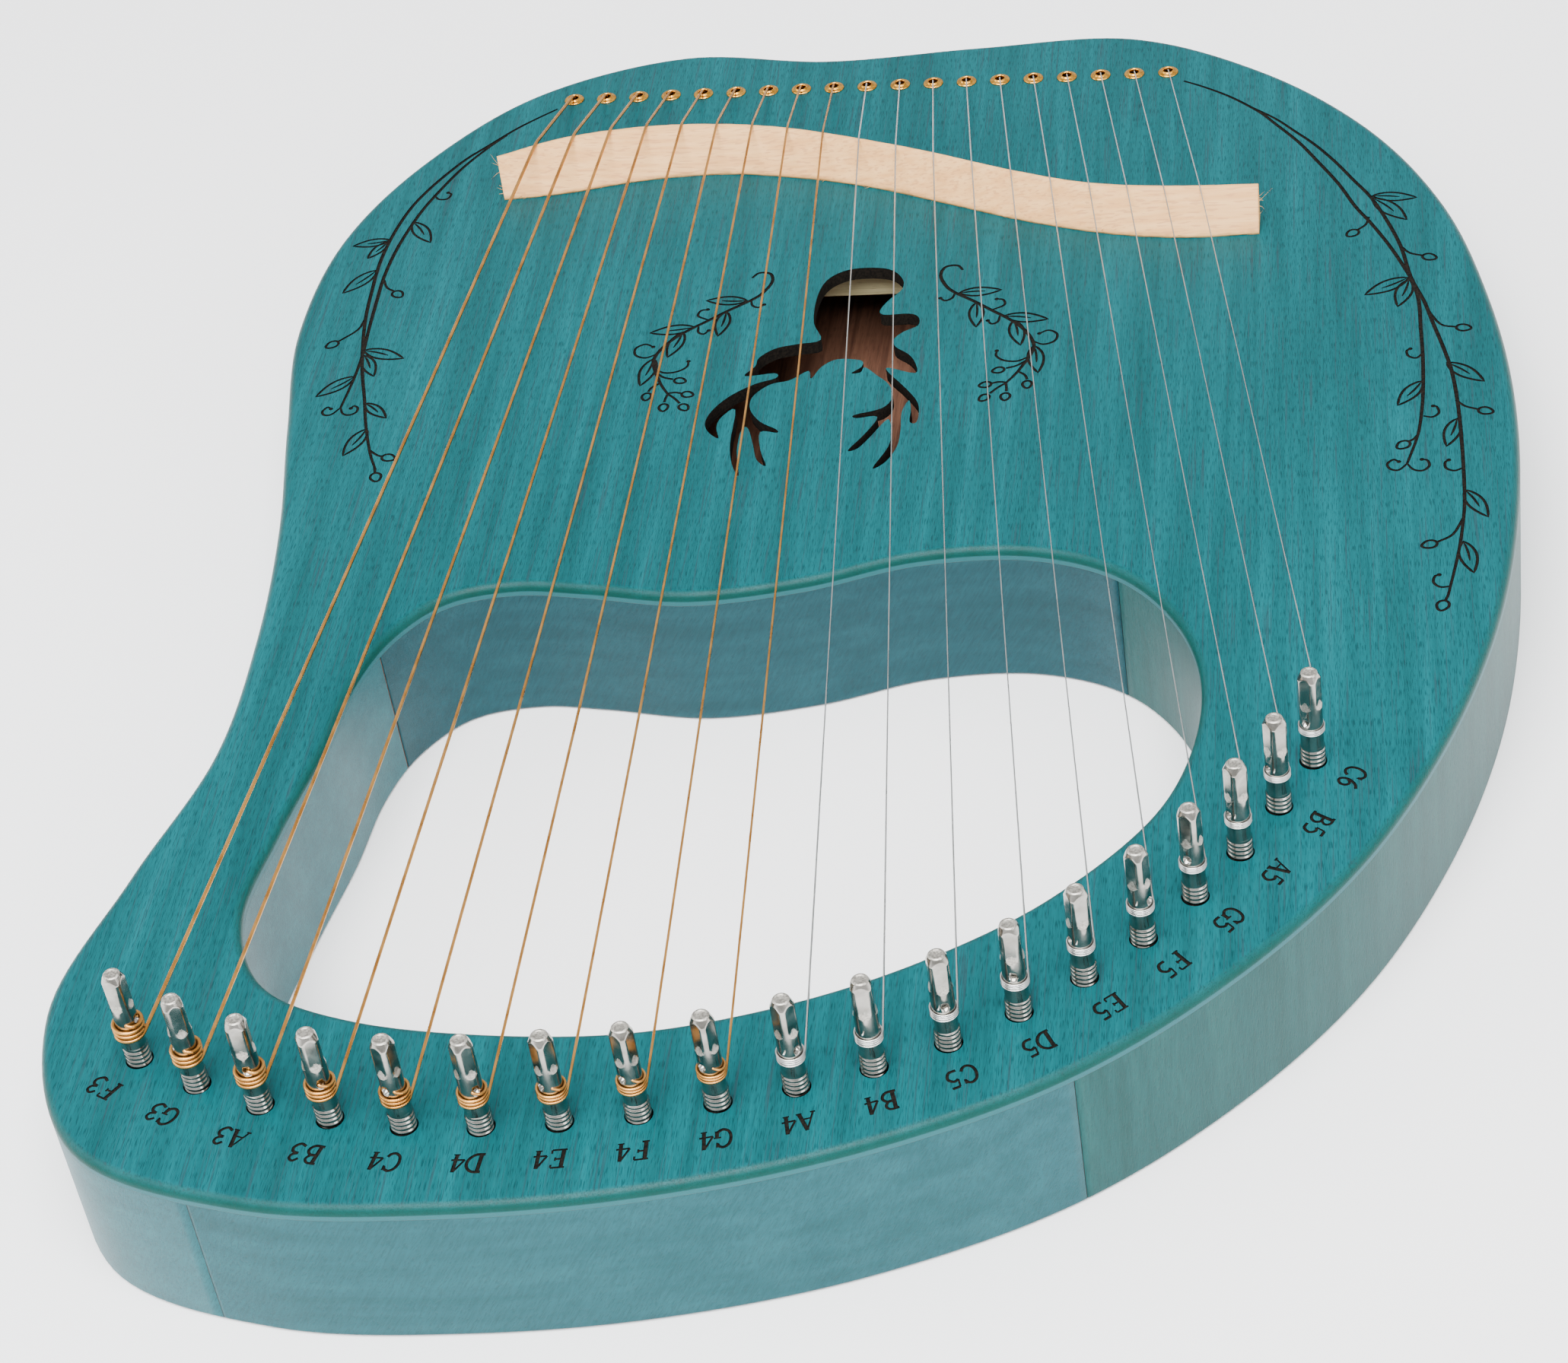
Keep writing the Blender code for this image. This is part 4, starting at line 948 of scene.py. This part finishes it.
def pinRows():
    # radius at each angle and height: the thread is a ridge that climbs one pitch a turn, and the head is
    # the smaller of the round shank and a square, whose flats come in over the run-out
    angle = 2 * np.pi * (np.arange(pin["sides"]) + 0.5) / pin["sides"]
    threadZ = np.arange(pin["foot"] + 1.2, pin["threadTop"] + 0.6, pin["pitch"] / 6)
    shankZ = np.array([5.6, 8.0, 10.0, 11.0, 12.0, 13.0])
    runZ = np.linspace(pin["flatFrom"], pin["flatFrom"] + pin["runOut"], 12)
    headZ = np.concatenate([np.linspace(pin["flatFrom"] + pin["runOut"] + 0.3, pin["top"] - 1.9, 5),
                            np.linspace(pin["top"] - 1.7, pin["top"] - 0.36, 9)])
    z = np.concatenate([threadZ, shankZ, runZ, headZ])[:, None]
    wave = (z / pin["pitch"] + angle / (2 * np.pi)) % 1.0
    ridge = np.clip(1.35 - np.abs(wave - 0.5) * 4.2, 0, 1)
    fade = np.clip((pin["threadTop"] - z + 0.3) / 0.5, 0, 1)
    base = pin["shank"] + (pin["root"] - pin["shank"]) * fade
    radius = base + (pin["thread"] - pin["root"]) * ridge * fade
    cut = np.clip((z - pin["flatFrom"]) / pin["runOut"], 0, 1)
    thinner = pin["taper"] * np.clip((z - pin["taperFrom"]) / pin["taperOver"], 0, 1)
    half = pin["shank"] - (pin["shank"] - pin["flat"]) * np.sin(cut * np.pi / 2) - thinner
    square = half / np.maximum(np.abs(np.cos(angle)), np.abs(np.sin(angle)))
    corner = pin["shank"] - pin["chamferSlope"] * np.clip(z - pin["top"] + pin["chamferFrom"], 0, None)
    radius = np.where(z > pin["flatFrom"] - 0.01, np.minimum(np.minimum(radius, square), corner), radius)
    # top: the chamfer rolls over into a flat rim with a shallow ring and a pit
    scale = np.array([0.97, 0.90, 0.80, 0.70, 0.64, 0.58, 0.30, 0.12, 0.0])[:, None]
    rise = np.array([-0.24, -0.10, -0.02, 0.0, -0.03, -0.12, -0.10, -0.14, -0.14])[:, None] + pin["top"]
    foot = np.array([0.0, 0.55, 0.86])[:, None] * pin["root"] + 0 * angle
    footZ = np.array([0.0, 0.0, 0.45])[:, None] + pin["foot"]
    radius = np.concatenate([foot, radius, scale * radius[-1]])
    z = np.concatenate([footZ, z, rise]) + 0 * angle
    return np.stack([radius * np.cos(angle), radius * np.sin(angle), z], -1)


corners, faces = sheet(pinRows(), 0)[:2]
middle = corners[faces].mean(1)
# the cutter left a small dull spot at the foot of each flat, wider below and pointed above
offFlat = np.abs((np.arctan2(middle[:, 1], middle[:, 0]) + np.pi / 4) % (np.pi / 2) - np.pi / 4)
upRun = (middle[:, 2] - pin["flatFrom"]) / pin["spot"]
spotShape = np.sqrt(np.clip(upRun * 4, 0, 1)) * np.clip(1 - upRun, 0, 1) ** 0.7
inRun = (upRun > 0) & (upRun < 1) & (offFlat < pin["spotWide"] * spotShape)
onTop = middle[:, 2] > pin["top"] - pin["topDull"]
onTop &= np.linalg.norm(middle[:, :2], axis=1) < pin["flat"] * 0.8
rough = inRun | onTop
pinParts = [(corners, faces[~rough], 0, True), (corners, faces[rough], 1, True)]
template = newPiece("pinTemplate", pinParts, (nickel, stampedNickel))
eyeLoop = circle(0, strung["eyeUp"], pin["eye"], pin["eyeSides"])
drill = np.stack([np.insert(eyeLoop, 0, x, axis=1) for x in (-pin["drill"], pin["drill"])])
carve(template, "drill", [sheet(drill, 0)] + endCaps(drill))
pinCorners = np.empty(len(template.data.vertices) * 3)
template.data.vertices.foreach_get("co", pinCorners)
pinCorners = pinCorners.reshape(-1, 3)
headTurns = chance.uniform(0, 2 * np.pi, count)
for k, spot in enumerate(pinPlaces):
    mesh = template.data.copy()
    c, s = np.cos(headTurns[k]), np.sin(headTurns[k])
    standing = pinCorners @ np.array([[c, s, 0], [-s, c, 0], [0, 0, 1]]) + np.array([*spot, faceTop]) * mm
    mesh.vertices.foreach_set("co", standing.ravel())
    mesh.update()
    name = "tuningPin_" + noteNames[k]
    mesh.name = name
    piece = newObject(name, mesh, (nickel, stampedNickel))
    attach(piece, "pin_" + noteNames[k], "nickel_plated_pins", "tuning_pin_" + noteNames[k])
bpy.data.objects.remove(template)
print("tuning pins")

# strings: a thin tube along each path; the wound ones carry a fine wrap
# coilPitch and coilLift are in gauges
wire = {"wrapPitch": 0.42, "ringsPerWrap": 3, "wrapDepth": 0.08, "coilPitch": 1.16, "fixedTurn": 0.93,
        "coilLift": 1.04, "bassTurns": 2.0, "trebleTurns": 2.6, "bendSteps": 7, "pinGap": 0.05,
        "ballZ": 3.0, "overFace": 0.6, "overLip": 0.55, "lipRise": 0.45, "lipBend": 0.35, "bridgeBend": 2.2,
        "behindEdge": 0.35}


def bend(before, corner, after, reach):
    # a corner rounded by a curve from reach before it to reach after it
    a, b, c = (np.array(p, float) for p in (before, corner, after))
    start = b + (a - b) / np.linalg.norm(a - b) * reach
    stop = b + (c - b) / np.linalg.norm(c - b) * reach
    t = np.linspace(0, 1, wire["bendSteps"])[:, None]
    return (1 - t) ** 2 * start + 2 * t * (1 - t) * b + t ** 2 * stop


def helix(middle, radius, startAngle, turns, low, rise, steps=40):
    # clockwise seen from above, climbing rise with each turn
    angle = startAngle - 2 * np.pi * np.linspace(0, turns, int(turns * steps) + 2)
    height = low + rise * (startAngle - angle) / (2 * np.pi)
    return np.column_stack([middle[0] + radius * np.cos(angle), middle[1] + radius * np.sin(angle), height])


def tube(path, radius, side, wrapped, sides=8):
    # rings round a path; side is the direction each ring is laid out from, and a wrap makes a
    # ridge that climbs round the wire
    total = lineLength(path)
    spacing = wire["wrapPitch"] / wire["ringsPerWrap"]
    places = np.arange(0, total, spacing) if wrapped else reachAlong(path)
    centre = alongLine(path, places)
    sideShare = np.linspace(0, 1, len(side))
    lead = np.stack([np.interp(places / total, sideShare, side[:, k]) for k in range(3)], 1)
    way = unit(np.gradient(centre, axis=0))
    first = unit(np.cross(lead, way))
    second = np.cross(way, first)
    angle = onceRound(sides)
    size = np.full((len(places), sides), float(radius))
    if wrapped:
        ridge = np.cos(2 * np.pi * places[:, None] / wire["wrapPitch"] + angle)
        size = size * (1 - wire["wrapDepth"] * (1 - ridge))
    rings = centre[:, None] + size[..., None] * (np.cos(angle)[:, None] * first[:, None]
                                                 + np.sin(angle)[:, None] * second[:, None])
    return [sheet(rings, 0)] + endCaps(rings)


ballProfile = ((0.55, -1.8), (1.35, -1.8), (1.6, -1.6), (1.6, -1.2), (1.28, -0.9), (1.2, 0), (1.28, 0.9),
               (1.6, 1.2), (1.6, 1.6), (1.35, 1.8), (0.55, 1.8))
wayEast, wayUp = np.array([1.0, 0, 0]), np.array([0, 0, 1.0])
for k, note in enumerate(noteNames):
    wound = k < strung["wound"]
    finish, slot = (bronze, "bronze_wound_strings") if wound else (steel, "plain_steel_strings")
    radius = gauges[k] / 2
    spot, pinSpot = grommetPlaces[k], pinPlaces[k]
    leave = faceTop + strung["leaveBass"] + (strung["leaveTreble"] - strung["leaveBass"]) * k / (count - 1)
    wrap = pin["shank"] + radius + wire["pinGap"]
    rise = wire["coilPitch"] * gauges[k]
    # the straight run crosses the far edge of the bridge where the sign of offRun changes
    run = pinSpot + np.array([wrap, 0]) - spot
    offRun = (farLine[:, 0] - spot[0]) * run[1] - (farLine[:, 1] - spot[1]) * run[0]
    cross = np.nonzero(offRun[:-1] * offRun[1:] <= 0)[0][0]
    part = offRun[cross] / (offRun[cross] - offRun[cross + 1])
    rest = farLine[cross] * (1 - part) + farLine[cross + 1] * part + inward[cross] * wire["behindEdge"]
    rest = np.array([*rest, faceTop + bridge["top"] + radius + 0.02])
    run = pinSpot - rest[:2]
    run /= np.linalg.norm(run)
    startAngle = np.arctan2(run[0], -run[1])
    turn = helix(pinSpot, wrap, startAngle, wire["fixedTurn"], leave, 0)
    ball = np.array([*spot, wire["ballZ"]])
    mouth = np.array([*spot, faceTop + wire["overFace"]])
    out = rest - mouth
    out /= np.linalg.norm(out)
    lip = mouth + np.array([*(out[:2] * wire["overLip"]), wire["lipRise"] + radius])
    straight = np.concatenate([[ball], bend(ball, mouth, lip, wire["lipBend"]),
                               bend(mouth, lip, rest, wire["lipBend"]),
                               bend(lip, rest, turn[0], wire["bridgeBend"])])
    # rings are laid out from east on the upright part, and from up once the turn at turnFrom nears
    path = np.concatenate([straight, turn])
    share = np.linspace(0, 1, 200)[:, None]
    turnFrom = lineLength(straight) / lineLength(path)
    swing = np.clip((share - turnFrom - 0.1) / 0.4, 0, 1)
    side = wayEast * (1 - swing) + wayUp * swing
    piece = newPiece("string_" + note + "_length", tube(path, radius, side, wound), (finish,))
    attach(piece, "body", slot, "string_" + note)

    # the fixed turn is level and the coil climbs from just above it, so the coil clears it at any angle
    turns = wire["bassTurns"] if wound else wire["trebleTurns"]
    first = leave + wire["coilLift"] * gauges[k]
    top = first + rise * turns
    coil = helix(pinSpot, wrap, startAngle, turns, first, rise)
    # its end turns in through the eye: angle past the coil, distance from the axis and share of the climb
    inAngle = startAngle - 2 * np.pi * turns - np.array([0.35, 0.75, 1.05, 1.2, 1.25, 1.25, 1.25, 1.25])
    inReach = np.array([wrap, wrap - 0.05, wrap - 0.35, pin["shank"] - 0.1, 1.2, 0.0, -1.6, -2.9])
    inRise = np.array([0.12, 0.42, 0.75, 0.95, 1.0, 1.0, 1.0, 0.98])
    tail = np.column_stack([pinSpot[0] + inReach * np.cos(inAngle), pinSpot[1] + inReach * np.sin(inAngle),
                            top + (faceTop + strung["eyeUp"] - top) * inRise])
    coilPath = np.concatenate([coil[:-1], smoothLine(np.concatenate([coil[-1:], tail]), 5)])
    parts = tube(coilPath, radius, np.tile(wayUp, (2, 1)), wound)
    attach(newPiece("coil_" + note, parts, (finish,)), "pin_" + note, slot)

    # ball end: a small brass barrel lying across the foot of its pocket
    corners, faces = turned(ballProfile, 24)[:2]
    corners = corners[:, [2, 1, 0]] + ball
    attach(newPiece("ballEnd_" + note, [(corners, faces, 0, True)], (brass,)), "body", slot)
print("strings")

floorPart = flatArea([box(-1, -1, 1, 1) * studio["floorHalf"] / mm], -studio["floorDrop"], 0)
floor = newObject("floor", makeMesh("floor", [floorPart], outward=False), (floorWhite,))
